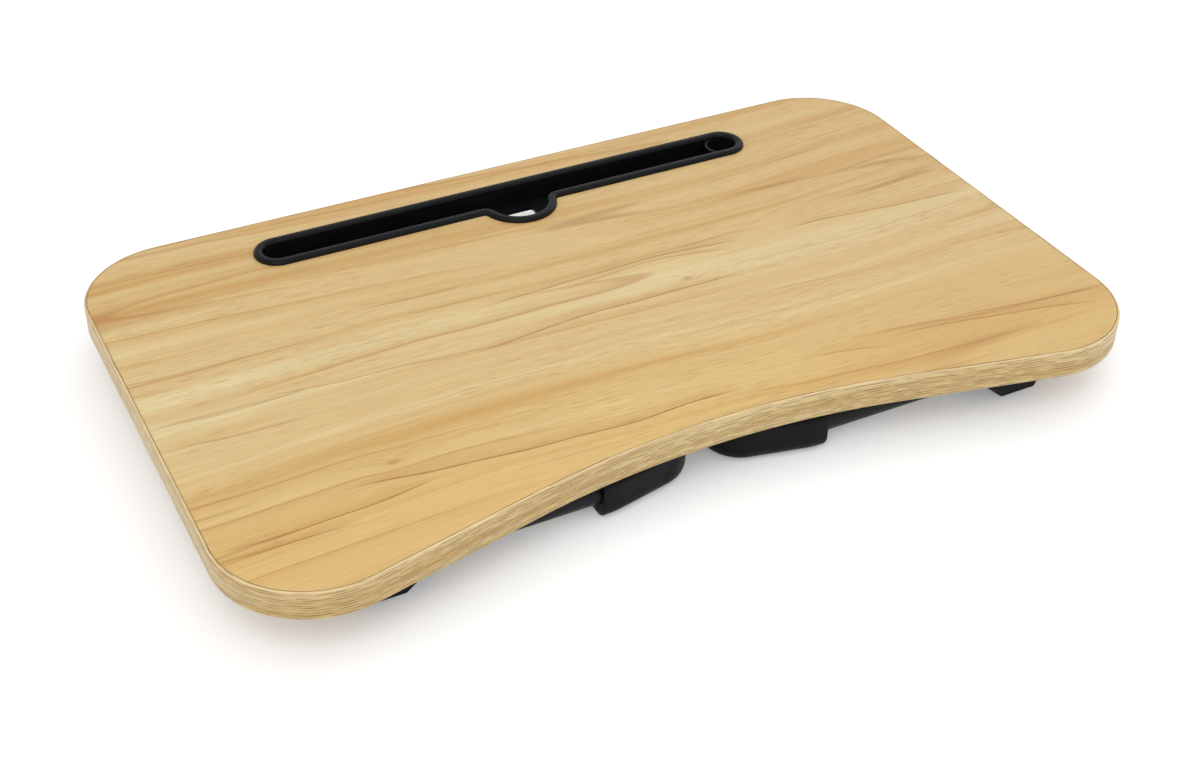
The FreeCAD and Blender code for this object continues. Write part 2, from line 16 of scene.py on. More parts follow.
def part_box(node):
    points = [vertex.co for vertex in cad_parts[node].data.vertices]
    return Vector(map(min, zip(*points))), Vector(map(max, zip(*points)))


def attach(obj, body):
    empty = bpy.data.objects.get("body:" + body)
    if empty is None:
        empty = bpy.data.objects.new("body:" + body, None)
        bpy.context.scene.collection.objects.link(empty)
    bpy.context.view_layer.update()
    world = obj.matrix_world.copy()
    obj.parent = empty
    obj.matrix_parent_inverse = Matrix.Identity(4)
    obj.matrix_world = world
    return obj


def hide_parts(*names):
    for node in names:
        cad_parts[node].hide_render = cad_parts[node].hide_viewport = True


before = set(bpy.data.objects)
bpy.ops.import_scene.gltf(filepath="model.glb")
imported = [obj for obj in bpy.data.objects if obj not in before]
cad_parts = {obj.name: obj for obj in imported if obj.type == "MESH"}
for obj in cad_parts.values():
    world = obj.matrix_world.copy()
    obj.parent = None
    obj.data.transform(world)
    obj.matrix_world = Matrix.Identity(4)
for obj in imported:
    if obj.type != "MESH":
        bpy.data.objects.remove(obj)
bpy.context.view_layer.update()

bl_info = {
    "name": "Bed Tray Table",
    "version": (1, 0, 0),
    "blender": (4, 5, 0),
    "location": "View3D > Sidebar > Tray Table",
    "description": "Edge band, slot moulding, feet, fasteners, finishes and studio of a bed tray table",
    "category": "Object",
}

MM = 0.001
CORNERS = ("left_front", "left_back", "right_front", "right_back")
SIDES = ("left", "right")


def cad_size(node):
    low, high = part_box(node)
    return high - low


def linear(code, alpha=1.0):
    """Linear colour of an sRGB hex code such as #dcbb80."""
    parts = [int(code[i:i + 2], 16) / 255 for i in (1, 3, 5)]
    return tuple(p / 12.92 if p <= 0.04045 else ((p + 0.055) / 1.055) ** 2.4 for p in parts) + (alpha,)


# ---------------------------------------------------------------- sizes and colours a user may change
def length(name, description, default):
    return FloatProperty(name=name, description=description, default=default, unit="LENGTH",
                         subtype="DISTANCE", min=0.0, precision=4)


def colour(name, description, code):
    return FloatVectorProperty(name=name, description=description, default=linear(code), size=4,
                               subtype="COLOR", min=0.0, max=1.0)


BAND_SIZE, BAND_BOX = cad_size("edge_band"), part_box("edge_band")
INSERT_SIZE = cad_size("slot_insert")
FOOT_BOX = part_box("right_front_foot")


class TrayBoardSizes(bpy.types.PropertyGroup):
    board_length: length("Length", "Length of the board over its edge band", BAND_SIZE.x)
    board_depth: length("Depth", "Depth of the board at its front corners", BAND_SIZE.y)
    corner_radius: length("Corner radius", "Radius of the four corners in plan", 60 * MM)
    hollow_depth: length("Front hollow", "How far the front edge draws in at the middle", 38 * MM)
    flank: length("Straight flank", "Straight stretch between a front corner and the hollow", 106 * MM)
    band: length("Band thickness", "Thickness of the edge band", 2 * MM)
    band_round: length("Band rounding", "Rounding of the band's outer edges", 1.4 * MM)


class TraySlotSizes(bpy.types.PropertyGroup):
    slot_length: length("Slot length", "Length of the slot moulding over its bead", INSERT_SIZE.x)
    slot_width: length("Slot width", "Width of the slot moulding over its bead", 33 * MM)
    slot_y: length("Slot line", "Middle line of the slot behind the board's middle", 139.5 * MM)
    notch_radius: length("Notch radius", "Radius of the cable notch over its bead", 27 * MM)
    notch_y: length("Notch line", "Middle of the cable notch", 128.5 * MM)
    notch_blend: length("Notch blend", "Rounding where the notch meets the slot", 3 * MM)
    bead_width: length("Bead width", "Width of the bead that lies on the board", 6.4 * MM)
    bead_height: length("Bead height", "Height of the bead above the board", 3 * MM)
    bead_round: length("Bead rounding", "Rounding of the bead's top", 2.6 * MM)
    bead_overlap: length("Bead overlap", "How much of the bead lies on the board", 4 * MM)
    floor_depth: length("Slot depth", "From the board's face to the slot's floor", 13.5 * MM)
    floor_thickness: length("Floor thickness", "Thickness of the slot's floor", 2 * MM)
    floor_cut_width: length("Floor cut width", "Width of the cut in the floor behind the notch", 32 * MM)
    floor_cut_depth: length("Floor cut depth", "How far that cut runs back into the slot", 10.5 * MM)
    well_wall: length("Pen well wall", "Thickness of the curved wall beside the pen well", 1.8 * MM)


class TrayFootSizes(bpy.types.PropertyGroup):
    width: length("Width", "Width of a foot's two arms in plan", 23 * MM)
    sole_round: length("Sole rounding", "Rounding of the sole's outer side", 9 * MM)
    inner_round: length("Inner rounding", "Rounding of the sole inside the elbow", 5.5 * MM)
    crown_round: length("Crown rounding", "Rounding along the top of a foot", 4 * MM)
    mouth_round: length("Mouth rounding", "Rounding round the mouth of a socket", 0.6 * MM)
    inside_radius: length("Inside radius", "Radius inside the elbow in plan", 28 * MM)
    toe_radius: length("Toe radius", "Radius of the toe in plan", 26 * MM)
    slant_from: length("Slant start", "From the mouth on the arm to the slanted outer side", 8 * MM)
    slant_blend: length("Slant blend", "Radius where the slant starts", 60 * MM)
    slant: FloatProperty(name="Slant", description="Slant of the outer side towards the toe",
                         default=math.radians(12), subtype="ANGLE", unit="ROTATION")
    socket_fit: length("Socket fit", "Clearance round and behind a tube in its socket", 0.05 * MM)
    screw_from_mouth: length("Screw place", "From the mouth on the arm to the foot screw", 11 * MM)
    screw_sink: length("Screw sink", "Depth of the foot screw's counterbore", 2 * MM)
    screw_hole: length("Screw hole", "Radius of the foot screw's counterbore", 2.85 * MM)


class TrayColours(bpy.types.PropertyGroup):
    wood_light: colour("Wood, light", "Light stretches of the oak foil", "#e4cf9a")
    wood_mid: colour("Wood, middle", "Ground colour of the oak foil", "#dcbd82")
    wood_dark: colour("Wood, dark", "Dark stretches of the oak foil", "#c8964a")
    wood_line: colour("Wood, lines", "Thin growth lines of the oak foil", "#985c20")
    moulding: colour("Slot moulding", "Satin black plastic of the slot", "#111113")
    plastic: colour("Moulded plastic", "Black plastic of the feet and brackets", "#0b0b0c")
    coat: colour("Powder coat", "Black coat on the tubes", "#09090a")
    studio: colour("Studio", "Floor and backdrop", "#fdfdfd")


class TrayTableSettings(bpy.types.PropertyGroup):
    board: PointerProperty(type=TrayBoardSizes)
    slot: PointerProperty(type=TraySlotSizes)
    foot: PointerProperty(type=TrayFootSizes)
    colours: PointerProperty(type=TrayColours)


# ---------------------------------------------------------------- outlines in plan
def straight(x0, y0, x1, y1, step=4 * MM):
    """Points and outward normals of a straight run; outward is to the right of the way it goes."""
    run = math.hypot(x1 - x0, y1 - y0)
    n = max(2, int(run / step) + 1)
    return np.linspace((x0, y0), (x1, y1), n), np.repeat([[(y1 - y0) / run, (x0 - x1) / run]], n, axis=0)


def bend(cx, cy, radius, start, end, step=math.radians(3)):
    """Points and outward normals of an arc: centre + radius (cos a, sin a), a from start to end."""
    n = max(3, int(abs(end - start) / step) + 2)
    a = np.linspace(start, end, n)
    spoke = np.stack([np.cos(a), np.sin(a)], axis=1)
    return np.array([[cx, cy]]) + radius * spoke, spoke * (1 if end > start else -1)


def join_runs(runs):
    """One run out of several, without the doubled points where they meet."""
    points = np.concatenate([p for p, _ in runs])
    normals = np.concatenate([n for _, n in runs])
    gap = np.linalg.norm(points - np.roll(points, 1, axis=0), axis=1)
    keep = gap > 1e-7
    keep[0] = True
    return points[keep], normals[keep]


def closed_length(points):
    """Distance run along a closed outline at each point, and once more at its end."""
    steps = np.linalg.norm(np.roll(points, -1, axis=0) - points, axis=1)
    return np.concatenate([[0.0], np.cumsum(steps)])


def board_outline(s):
    """The board from above, anticlockwise: round corners, straight flanks and a hollow front arc.

    The flank's angle t makes flank and hollow add up to the hollow's depth; it is found by halving."""
    half, deep, r = s.board_length / 2, s.board_depth / 2, s.corner_radius
    low, high = 0.0, math.radians(60)
    for _ in range(60):
        t = (low + high) / 2
        arc_half = half - r * (1 + math.sin(t)) - s.flank * math.cos(t)
        rise = s.flank * math.sin(t) + arc_half * math.tan(t / 2) + r * (1 - math.cos(t))
        low, high = (t, high) if rise < s.hollow_depth else (low, t)
    hollow_r = arc_half / math.sin(t)
    hollow_y = s.hollow_depth - deep - hollow_r
    cx, back_y, front_y = half - r, deep - r, r - deep
    corner = (cx - r * math.sin(t), front_y - r * math.cos(t))
    mouth = (hollow_r * math.sin(t), hollow_y + hollow_r * math.cos(t))
    quarter = math.pi / 2
    return join_runs([
        straight(half, front_y, half, back_y),
        bend(cx, back_y, r, 0, quarter),
        straight(cx, deep, -cx, deep),
        bend(-cx, back_y, r, quarter, 2 * quarter),
        straight(-half, back_y, -half, front_y),
        bend(-cx, front_y, r, 2 * quarter, 3 * quarter + t),
        straight(-corner[0], corner[1], -mouth[0], mouth[1]),
        bend(0, hollow_y, hollow_r, quarter + t, quarter - t, step=math.radians(0.4)),
        straight(mouth[0], mouth[1], corner[0], corner[1]),
        bend(cx, front_y, r, -quarter - t, 0),
    ])


def slot_outline(s, notch=True):
    """The slot's bead from above, anticlockwise: round ends and, in front, the cable notch."""
    r = s.slot_width / 2
    end, y0 = s.slot_length / 2 - r, s.slot_y - r
    quarter = math.pi / 2
    front = [straight(-end, y0, end, y0)]
    if notch:
        centre_y = y0 - s.notch_blend
        reach, drop = s.notch_radius + s.notch_blend, s.notch_y - centre_y
        blend_x, turn = math.sqrt(reach ** 2 - drop ** 2), math.asin(drop / reach)
        fine = math.radians(6)
        front = [
            straight(-end, y0, -blend_x, y0),
            bend(-blend_x, centre_y, s.notch_blend, quarter, turn, fine),
            bend(0, s.notch_y, s.notch_radius, math.pi + turn, 2 * math.pi - turn),
            bend(blend_x, centre_y, s.notch_blend, math.pi - turn, quarter, fine),
            straight(blend_x, y0, end, y0),
        ]
    return join_runs(front + [
        bend(end, s.slot_y, r, -quarter, quarter),
        straight(end, s.slot_y + r, -end, s.slot_y + r),
        bend(-end, s.slot_y, r, quarter, 3 * quarter),
    ])


def rounded(points, radii, steps=7):
    """A closed polygon with its corners rounded by arcs; a radius of 0 keeps the corner sharp."""
    out = []
    for i, (corner, r) in enumerate(zip(points, radii)):
        corner = np.array(corner, float)
        if r <= 0:
            out.append(corner[None])
            continue
        a = np.array(points[i - 1], float) - corner
        b = np.array(points[(i + 1) % len(points)], float) - corner
        a, b = a / np.linalg.norm(a), b / np.linalg.norm(b)
        half = math.acos(np.clip(a @ b, -1, 1)) / 2
        centre = corner + (a + b) / np.linalg.norm(a + b) * r / math.sin(half)
        start = corner + a * r / math.tan(half) - centre
        stop = corner + b * r / math.tan(half) - centre
        t = np.linspace(0, 1, steps)[:, None]
        swing = math.pi - 2 * half
        arc = (np.sin((1 - t) * swing) * start + np.sin(t * swing) * stop) / math.sin(swing)
        out.append(centre + arc)
    return np.concatenate(out)


# ---------------------------------------------------------------- meshes, as points and arrays of faces
def grid_faces(rows, columns, wrap_rows, wrap_columns):
    """Quads of a grid whose points are numbered row by row; a wrapped way runs round to its start."""
    i = np.arange(rows if wrap_rows else rows - 1)[:, None]
    j = np.arange(columns if wrap_columns else columns - 1)[None, :]
    k, m = (i + 1) % rows, (j + 1) % columns
    return np.stack([i * columns + j, k * columns + j, k * columns + m, i * columns + m],
                    -1).reshape(-1, 4)


def joined(parts):
    """Points and faces of several meshes as one."""
    points, faces, start = [], [], 0
    for part_points, part_faces in parts:
        points.append(part_points)
        faces += [group + start for group in part_faces]
        start += len(part_points)
    return np.concatenate(points), faces


def make_mesh(name, shape, body, material, sharp=40, uv=None):
    """A piece riding on a body, smooth but for edges sharper than an angle.

    The shape is its points and a list of face arrays: a row for each face, or one face alone."""
    points, faces = shape
    rows = chain.from_iterable(np.atleast_2d(group).tolist() for group in faces)
    mesh = bpy.data.meshes.new(name)
    mesh.from_pydata(points.tolist(), [], list(rows))
    mesh.validate()
    if uv is not None:
        mesh.uv_layers.new(name="run").data.foreach_set("uv", uv.ravel())
    mesh.polygons.foreach_set("use_smooth", np.ones(len(mesh.polygons), bool))
    mesh.set_sharp_from_angle(angle=math.radians(sharp))
    mesh.materials.append(material)
    piece = bpy.data.objects.new(name, mesh)
    bpy.context.scene.collection.objects.link(piece)
    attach(piece, body)
    return piece


def swept_ring(outline, profile):
    """A closed profile (inset, height) carried round a closed outline: point - normal * inset, height.

    The outline runs anticlockwise and the profile runs so that the faces look outwards."""
    points, normals = outline
    plan = points[:, None, :] - normals[:, None, :] * profile[None, :, 0:1]
    height = np.broadcast_to(profile[None, :, 1:2], plan.shape[:2] + (1,))
    grid = np.concatenate([plan, height], -1).reshape(-1, 3)
    return grid, [grid_faces(len(points), len(profile), True, True)]


# ---------------------------------------------------------------- finishes
PLUS, MINUS, TIMES, TIMES_PLUS, LARGER, ABOVE, SIZE, EXP, POWER, SINE, FRACTION = (
    {"operation": kind} for kind in (
        "ADD", "SUBTRACT", "MULTIPLY", "MULTIPLY_ADD", "MAXIMUM", "GREATER_THAN", "ABSOLUTE", "EXPONENT",
        "POWER", "SINE", "FRACT"))
SMOOTH = {"interpolation_type": "SMOOTHSTEP"}
RGBA = {"data_type": "RGBA", "out": 2}


def fill(tree, made, inputs):
    """Gives sockets, by name or number, a value or another node's output."""
    for socket, value in inputs.items() if isinstance(inputs, dict) else enumerate(inputs):
        if isinstance(value, bpy.types.NodeSocket):
            tree.links.new(value, made.inputs[socket])
        else:
            made.inputs[socket].default_value = value


def add(tree, kind, inputs=(), out=0, stops=(), **settings):
    """Adds a node with its settings, what goes into its sockets and a colour ramp's stops.

    Returns one of its outputs, or the node itself where it has none."""
    made = tree.nodes.new("ShaderNode" + kind)
    for name, value in settings.items():
        setattr(made, name, value)
    for _ in stops[2:]:
        made.color_ramp.elements.new(0.5)
    for i, (place, shade) in enumerate(stops):
        made.color_ramp.elements[i].position, made.color_ramp.elements[i].color = place, shade
    fill(tree, made, inputs)
    return made.outputs[out] if made.outputs else made


def new_material(name):
    """An empty material, a function that adds a node to it, and one that fills its shader's sockets."""
    made = bpy.data.materials.new(name)
    made.use_nodes = True
    tree = made.node_tree
    tree.nodes.clear()
    node = partial(add, tree)
    shader = node("BsdfPrincipled")
    node("OutputMaterial", {"Surface": shader})
    return made, node, partial(fill, tree, shader.node)


def streaky(node, x, y, per_x, per_y, offset, detail=1.0):
    """Noise with so many features per metre along X and across Y; the offset picks its place."""
    along = node("Math", (x, per_x, offset), **TIMES_PLUS)
    across = node("Math", (y, per_y, offset * 0.7), **TIMES_PLUS)
    place = node("CombineXYZ", (along, across))
    return node("TexNoise", {"Vector": place, "Scale": 1.0, "Detail": detail})


def swayed(node, y, field, reach):
    """Y moved to and fro by a noise field around its mean."""
    return node("Math", (node("Math", (field, 0.5), **MINUS), reach, y), **TIMES_PLUS)


def toned(node, ground, factor):
    """A colour made darker or lighter by a factor."""
    grey = node("CombineColor", (factor, factor, factor))
    return node("Mix", {0: 1.0, 6: ground, 7: grey}, blend_type="MULTIPLY", **RGBA)


# Places of the two small knots that the foil's print shows and their size, in metres on the board.
KNOTS = ((0.058, -0.0055, 0.0045), (-0.184, -0.0975, 0.0050))
# Its bolder grain lines: start, middle and end on the board in millimetres, and how strong each prints.
GRAIN_LINES = (
    ((-80, 20), (20, 26), (121, 20), 0.80),
    ((-30, 16), (50, 21), (110, 13), 0.60),
    ((-237, -7), (-195, -10), (-102, -20.5), 0.55),
    ((-104, -22), (-19, -16), (98, -15.5), 0.85),
    ((-220.5, -109), (-107, -119.5), (33, -125.5), 0.90),
    ((-300, -129.7), (-233, -128), (-160, -119), 0.85),
    ((-300, -140.5), (-262, -137), (-215, -138), 0.75),
    ((-298, -10), (-257, -13), (-188, -7), 0.50),
    ((-296, -33), (-268, -36), (-205, -36), 0.50),
    ((-155, 55), (-106, 50), (-66, 53), 0.55),
    ((144, 19), (217, 14.5), (300, 5), 0.75),
    ((179, -118), (241, -127), (300, -135), 0.70),
    ((140, -120), (217, -130), (288, -146), 0.65),
    ((70, -116), (108, -120), (140, -133), 0.60),
)


def knots(node, x, y, grain):
    """The grain bent round the knots, and how dark their cores print: both Gaussian in the distance."""
    dark = None
    for kx, ky, size in KNOTS:
        dx = node("Math", (node("Math", (x, kx), **MINUS), 0.45), **TIMES)
        dy = node("Math", (y, ky), **MINUS)
        square = node("Math", (node("Math", (dx, dx), **TIMES), node("Math", (dy, dy), **TIMES)), **PLUS)
        near, core = (
            node("Math", (node("Math", (square, -1 / (2 * (size * share) ** 2)), **TIMES),), **EXP)
            for share in (1.0, 0.28))
        grain = node("Math", (near, size * 1.2, grain), **TIMES_PLUS)
        dark = core if dark is None else node("Math", (dark, core), **PLUS)
    return grain, node("Math", (dark, 0.65), use_clamp=True, **TIMES)


def bold_lines(node, x, bent, lines):
    """The print's bolder lines, each a parabola in X, and the tan shade 12 mm wide beside them."""
    bold, tan = None, None
    for start, middle, end, weight in lines:
        along, across = np.array([start, middle, end]).T * MM
        c, b, a = np.polyfit(along, across, 2).tolist()
        on = node("Math", (node("Math", (x, c, b), **TIMES_PLUS), x, a), **TIMES_PLUS)
        off = node("Math", (bent, on), **MINUS)
        comes = node("MapRange", (x, along[0], along[0] + 0.03), **SMOOTH)
        goes = node("MapRange", (x, along[2], along[2] - 0.03), **SMOOTH)
        held = node("Math", (comes, goes), **TIMES)
        away = node("Math", (off,), **SIZE)
        line = node("MapRange", (away, 0.0009, 0.0001, 0.0, 0.9 * weight), **SMOOTH)
        side = node("MapRange", (off, 0.012, 0.0, 0.0, 0.45 * weight), **SMOOTH)
        side = node("Math", (side, node("Math", (off, 0.0), **ABOVE)), **TIMES)
        line, side = node("Math", (line, held), **TIMES), node("Math", (side, held), **TIMES)
        bold = line if bold is None else node("Math", (bold, line), **LARGER)
        tan = side if tan is None else node("Math", (tan, side), **LARGER)
    return bold, tan


def oak_decor_foil(colours, name="oak_decor_foil", turned=0.0, lines=()):
    """Printed oak foil with a satin melamine-like lacquer: soft golden bands that sweep gently along the
    board, thin brown growth lines beside them, fine fibres and short open pores, and two small knots."""
    made, node, finish = new_material(name)
    light, mid, dark, brown = (tuple(c) for c in (colours.wood_light, colours.wood_mid,
                                                  colours.wood_dark, colours.wood_line))
    parts = node("SeparateXYZ", (node("TexCoord", out="Object"),)).node.outputs
    x, y = parts["X"], node("Math", (parts["Y"], turned), **PLUS)
    # the grain sweeps by some 10 mm over 400 mm and ripples by 1 mm over 90 mm, never back on itself
    grain = swayed(node, y, streaky(node, x, y, 2.4, 3.0, 3.1, 0.0), 0.045)
    quick = streaky(node, x, y, 11.0, 24.0, 7.7)
    grain = swayed(node, grain, quick, 0.006)
    grain, dark_knot = knots(node, x, y, grain)
    # bands 60 and 20 mm wide, with streaks of 6 mm in them
    broad = node("Math", (streaky(node, x, grain, 0.6, 13.0, 5.3, 0.5), 0.38), **TIMES)
    bands = node("Math", (streaky(node, x, grain, 1.2, 44.0, 1.3, 0.5), 0.40), **TIMES)
    streaks = streaky(node, x, grain, 3.5, 165.0, 11.7, 1.5)
    tone = node("Math", (streaks, 0.22, node("Math", (bands, broad), **PLUS)), **TIMES_PLUS)
    ground = node("ValToRGB", (tone,), stops=[(0.38, light), (0.48, mid), (0.52, mid), (0.66, dark)])
    # the colour turns a little more golden towards the front and a little deeper towards the right
    golden = node("MapRange", (y, -0.03, -0.15, 0.0, 0.50), **SMOOTH)
    deeper = node("MapRange", (x, -0.02, 0.24, 0.0, 0.32), **SMOOTH)
    fibres = streaky(node, x, grain, 26.0, 950.0, 0.9, 2.0)
    broken = node("MapRange", (fibres, 0.34, 0.50, 0.55, 1.0), **SMOOTH)
    # growth bands with one sharp side: contours of a field that is 1 m long and 90 mm across
    field = streaky(node, x, grain, 0.7, 11.0, 9.1, 0.5)
    saw = node("Math", (node("Math", (field, 9.0), **TIMES),), **FRACTION)
    shown = node("MapRange", (streaky(node, x, y, 3.0, 17.0, 2.3), 0.44, 0.64), **SMOOTH)
    soft_side = node("Math", (node("Math", (saw, 2.5), **POWER),
                              node("Math", (shown, 0.42), **TIMES)), **TIMES)
    crisp = node("Math", (node("MapRange", (saw, 0.90, 0.97), **SMOOTH),
                          node("MapRange", (saw, 1.0, 0.98), **SMOOTH)), **TIMES)
    crisp = node("Math", (node("Math", (crisp, shown), **TIMES),
                          node("Math", (broken, 0.3), **TIMES)), **TIMES)
    coats = [(golden, linear("#e4bd6c")), (deeper, linear("#cda668")), (soft_side, linear("#c88f42")),
             (crisp, brown)]
    # thin brown lines that fade in and out: where a slow field passes its mean
    for per_y, offset, width, lift in ((12.0, 4.4, 0.0085, 0.45), (18.0, 12.9, 0.0080, 0.30)):
        contour = streaky(node, x, grain, 0.7, per_y, offset, 0.0)
        off = node("Math", (node("Math", (contour, 0.5), **MINUS),), **SIZE)
        fade = streaky(node, x, y, 7.0, 12.0, offset + 1.0, 1.5)
        line = node("Math", (node("MapRange", (off, width, 0.0), **SMOOTH),
                             node("MapRange", (fade, 0.44, 0.60, 0.0, lift), **SMOOTH)), **TIMES)
        coats.append((node("Math", (line, broken), **TIMES), brown))
    if lines:
        bold, tan = bold_lines(node, x, swayed(node, y, quick, 0.009), lines)
        coats += [(tan, linear("#c6954f")), (node("Math", (bold, broken), **TIMES), brown)]
    for share, shade in coats:
        ground = node("Mix", {0: share, 6: ground, 7: shade}, **RGBA)
    # fibres 0.8 mm wide and pores 0.4 mm wide, both a few centimetres long, coarser than real to show
    ground = toned(node, ground, node("MapRange", (fibres, 0.36, 0.64, 0.94, 1.03), **SMOOTH))
    pores = node("MapRange", (streaky(node, x, grain, 55.0, 1500.0, 6.1), 0.59, 0.70), **SMOOTH)
    crowd = streaky(node, x, grain, 4.0, 45.0, 8.4)
    pore = node("Math", (pores, node("MapRange", (crowd, 0.40, 0.60, 0.10, 0.65), **SMOOTH)), **TIMES)
    for share, shade in ((pore, "#b27e40"), (dark_knot, "#b47434")):
        ground = node("Mix", {0: share, 6: ground, 7: linear(shade)}, **RGBA)
    height = node("Math", (pore, -1.0, node("Math", (fibres, 0.5), **TIMES)), **TIMES_PLUS)
    finish({"Base Color": ground, "IOR": 1.50, "Specular IOR Level": 0.42,
            "Roughness": node("MapRange", (fibres, 0.3, 0.7, 0.40, 0.50), **SMOOTH),
            "Normal": node("Bump", {"Distance": 0.00006, "Strength": 0.6, "Height": height})})
    return made


def printed_edge_band():
    """Printed edge band, glued on and rounded by scraping: fine brown pore lines that run along the
    edge, a pale stripe on the rounding that is partly print worn pale by the scraping and partly a
    painted highlight, and a dark glue line beside the foil."""
    made, node, finish = new_material("printed_edge_band")
    parts = node("SeparateXYZ", (node("UVMap", uv_map="run"),)).node.outputs
    along, across = parts["X"], parts["Y"]
    grain = swayed(node, across, streaky(node, along, across, 14.0, 30.0, 2.0), 0.005)
    tone = streaky(node, along, grain, 5.0, 220.0, 5.0, 1.5)
    ground = node("ValToRGB", (tone,), stops=[(0.36, linear("#eed49a")), (0.50, linear("#e4c586")),
                                              (0.66, linear("#d8b370"))])
    # even pore lines, one every 1.7 mm, broken into dashes 5 to 20 mm long
    rows = node("Math", (node("Math", (grain, 2 * math.pi / (1.7 * MM)), **TIMES),), **SINE)
    dashes = streaky(node, along, grain, 75.0, 620.0, 1.0)
    pore = node("Math", (node("MapRange", (rows, 0.10, 0.80), **SMOOTH),
                         node("MapRange", (dashes, 0.43, 0.54), **SMOOTH)), **TIMES)
    inked = node("Math", (pore, 0.72), **TIMES)
    ground = node("Mix", {0: inked, 6: ground, 7: linear("#8a6238")}, **RGBA)
    fine = streaky(node, along, grain, 90.0, 2600.0, 7.0)
    ground = toned(node, ground, node("MapRange", (fine, 0.36, 0.64, 0.90, 1.05), **SMOOTH))
    # the pale stripe on the rounding is partly print worn pale by scraping and partly a painted
    # highlight; the glue line is a dark joint
    for mark, share, shade in (("scraped_and_highlight", 0.45, "#f2e4c4"), ("glue_line", 0.8, "#8a6238")):
        shown = node("Attribute", out="Fac", attribute_name=mark, attribute_type="GEOMETRY")
        shown = node("Math", (shown, share), **TIMES)
        ground = node("Mix", {0: shown, 6: ground, 7: linear(shade)}, **RGBA)
    sunk = node("Math", (pore, -1.0), **TIMES)
    finish({"Base Color": ground, "IOR": 1.50,
            "Roughness": node("MapRange", (tone, 0.3, 0.7, 0.34, 0.44), **SMOOTH),
            "Normal": node("Bump", {"Distance": 0.00008, "Strength": 0.8, "Height": sunk})})
    return made


def mottle(node, per_metre, detail, roughness=0.5):
    """Even noise in the object's own place, with so many features per metre."""
    at = node("TexCoord", out="Object")
    return node("TexNoise", {"Vector": at, "Scale": per_metre, "Detail": detail, "Roughness": roughness})


def raw_fibreboard():
    """Sawn medium-density fibreboard: brown, matt and felted, with specks of fibre about 0.5 mm long."""
    made, node, finish = new_material("raw_fibreboard")
    felt = mottle(node, 1800.0, 4.0, 0.7)
    ground = node("ValToRGB", (felt,), stops=[(0.3, linear("#8d6b46")), (0.7, linear("#b08c60"))])
    patch = node("MapRange", (mottle(node, 120.0, 2.0), 0.4, 0.6, 0.0, 0.35), **SMOOTH)
    finish({"Base Color": node("Mix", {0: patch, 6: ground, 7: linear("#9c7850")}, **RGBA),
            "Roughness": 0.92, "IOR": 1.45,
            "Normal": node("Bump", {"Distance": 0.00012, "Strength": 1.0, "Height": felt})})
    return made


def moulded_black(name, shade, low_rough, high_rough, grain_mm, depth, ior=1.49, specular=0.14):
    """Injection-moulded black thermoplastic: a spark-eroded grain in the mould leaves a fine even
    pebbling, and slow flow marks change the gloss a little."""
    made, node, finish = new_material(name)
    pebble = node("TexVoronoi", {"Vector": node("TexCoord", out="Object"), "Scale": 1000.0 / grain_mm,
                                 "Randomness": 1.0})
    flow, rub = mottle(node, 55.0, 3.0, 0.6), mottle(node, 420.0, 2.0)
    gloss = node("Math", (node("Math", (flow, 0.7), **TIMES),
                          node("Math", (rub, 0.3), **TIMES)), **PLUS)
    dust = node("MapRange", (flow, 0.42, 0.62, 0.0, 0.10), **SMOOTH)
    finish({"Base Color": node("Mix", {0: dust, 6: shade, 7: linear("#1d1d20")}, **RGBA),
            "Roughness": node("MapRange", (gloss, 0.38, 0.62, low_rough, high_rough), **SMOOTH),
            "IOR": ior, "Specular IOR Level": specular,
            "Normal": node("Bump", {"Distance": depth, "Strength": 1.0, "Height": pebble})})
    return made


def powder_coat(shade):
    """Baked epoxy powder coat on steel tube: black, half-gloss, with an orange peel 1.5 mm wide."""
    made, node, finish = new_material("black_powder_coat")
    peel, grit, wear = mottle(node, 650.0, 1.0), mottle(node, 2600.0, 2.0), mottle(node, 60.0, 4.0)
    tint = node("MapRange", (grit, 0.45, 0.7, 0.0, 0.3), **SMOOTH)
    height = node("Math", (peel, node("Math", (grit, 0.25), **TIMES)), **PLUS)
    finish({"Base Color": node("Mix", {0: tint, 6: shade, 7: linear("#131315")}, **RGBA),
            "Roughness": node("MapRange", (wear, 0.4, 0.6, 0.36, 0.44), **SMOOTH),
            "IOR": 1.52, "Specular IOR Level": 0.22,
            "Normal": node("Bump", {"Distance": 0.00005, "Strength": 1.0, "Height": height})})
    return made


def plated_steel(name, shade, rough, stretch):
    """Zinc-plated or rolled steel: metal with fine drawing lines, some 0.1 mm wide, and cloudy gloss."""
    made, node, finish = new_material(name)
    place = node("Mapping", {"Vector": node("TexCoord", out="Object"), "Scale": stretch})
    drawn = node("TexNoise", {"Vector": place, "Scale": 1.0, "Detail": 2.0})
    cloud = mottle(node, 300.0, 3.0)
    finish({"Base Color": toned(node, shade, node("MapRange", (drawn, 0.35, 0.65, 0.86, 1.0), **SMOOTH)),
            "Roughness": node("MapRange", (cloud, 0.35, 0.65, rough - 0.07, rough + 0.09), **SMOOTH),
            "Metallic": 1.0,
            "Normal": node("Bump", {"Distance": 0.00002, "Strength": 1.0, "Height": drawn})})
    return made


def anti_slip_rubber():
    """Moulded rubber pad: deep grey, dull, with a matt skin and faint bloom."""
    made, node, finish = new_material("anti_slip_rubber")
    bloom = node("MapRange", (mottle(node, 180.0, 3.0), 0.4, 0.65, 0.0, 0.35), **SMOOTH)
    skin = mottle(node, 1500.0, 3.0)
    finish({"Base Color": node("Mix", {0: bloom, 6: linear("#232324"), 7: linear("#3a3a3b")}, **RGBA),
            "Roughness": 0.88, "IOR": 1.52, "Specular IOR Level": 0.35,
            "Normal": node("Bump", {"Distance": 0.00008, "Strength": 1.0, "Height": skin})})
    return made


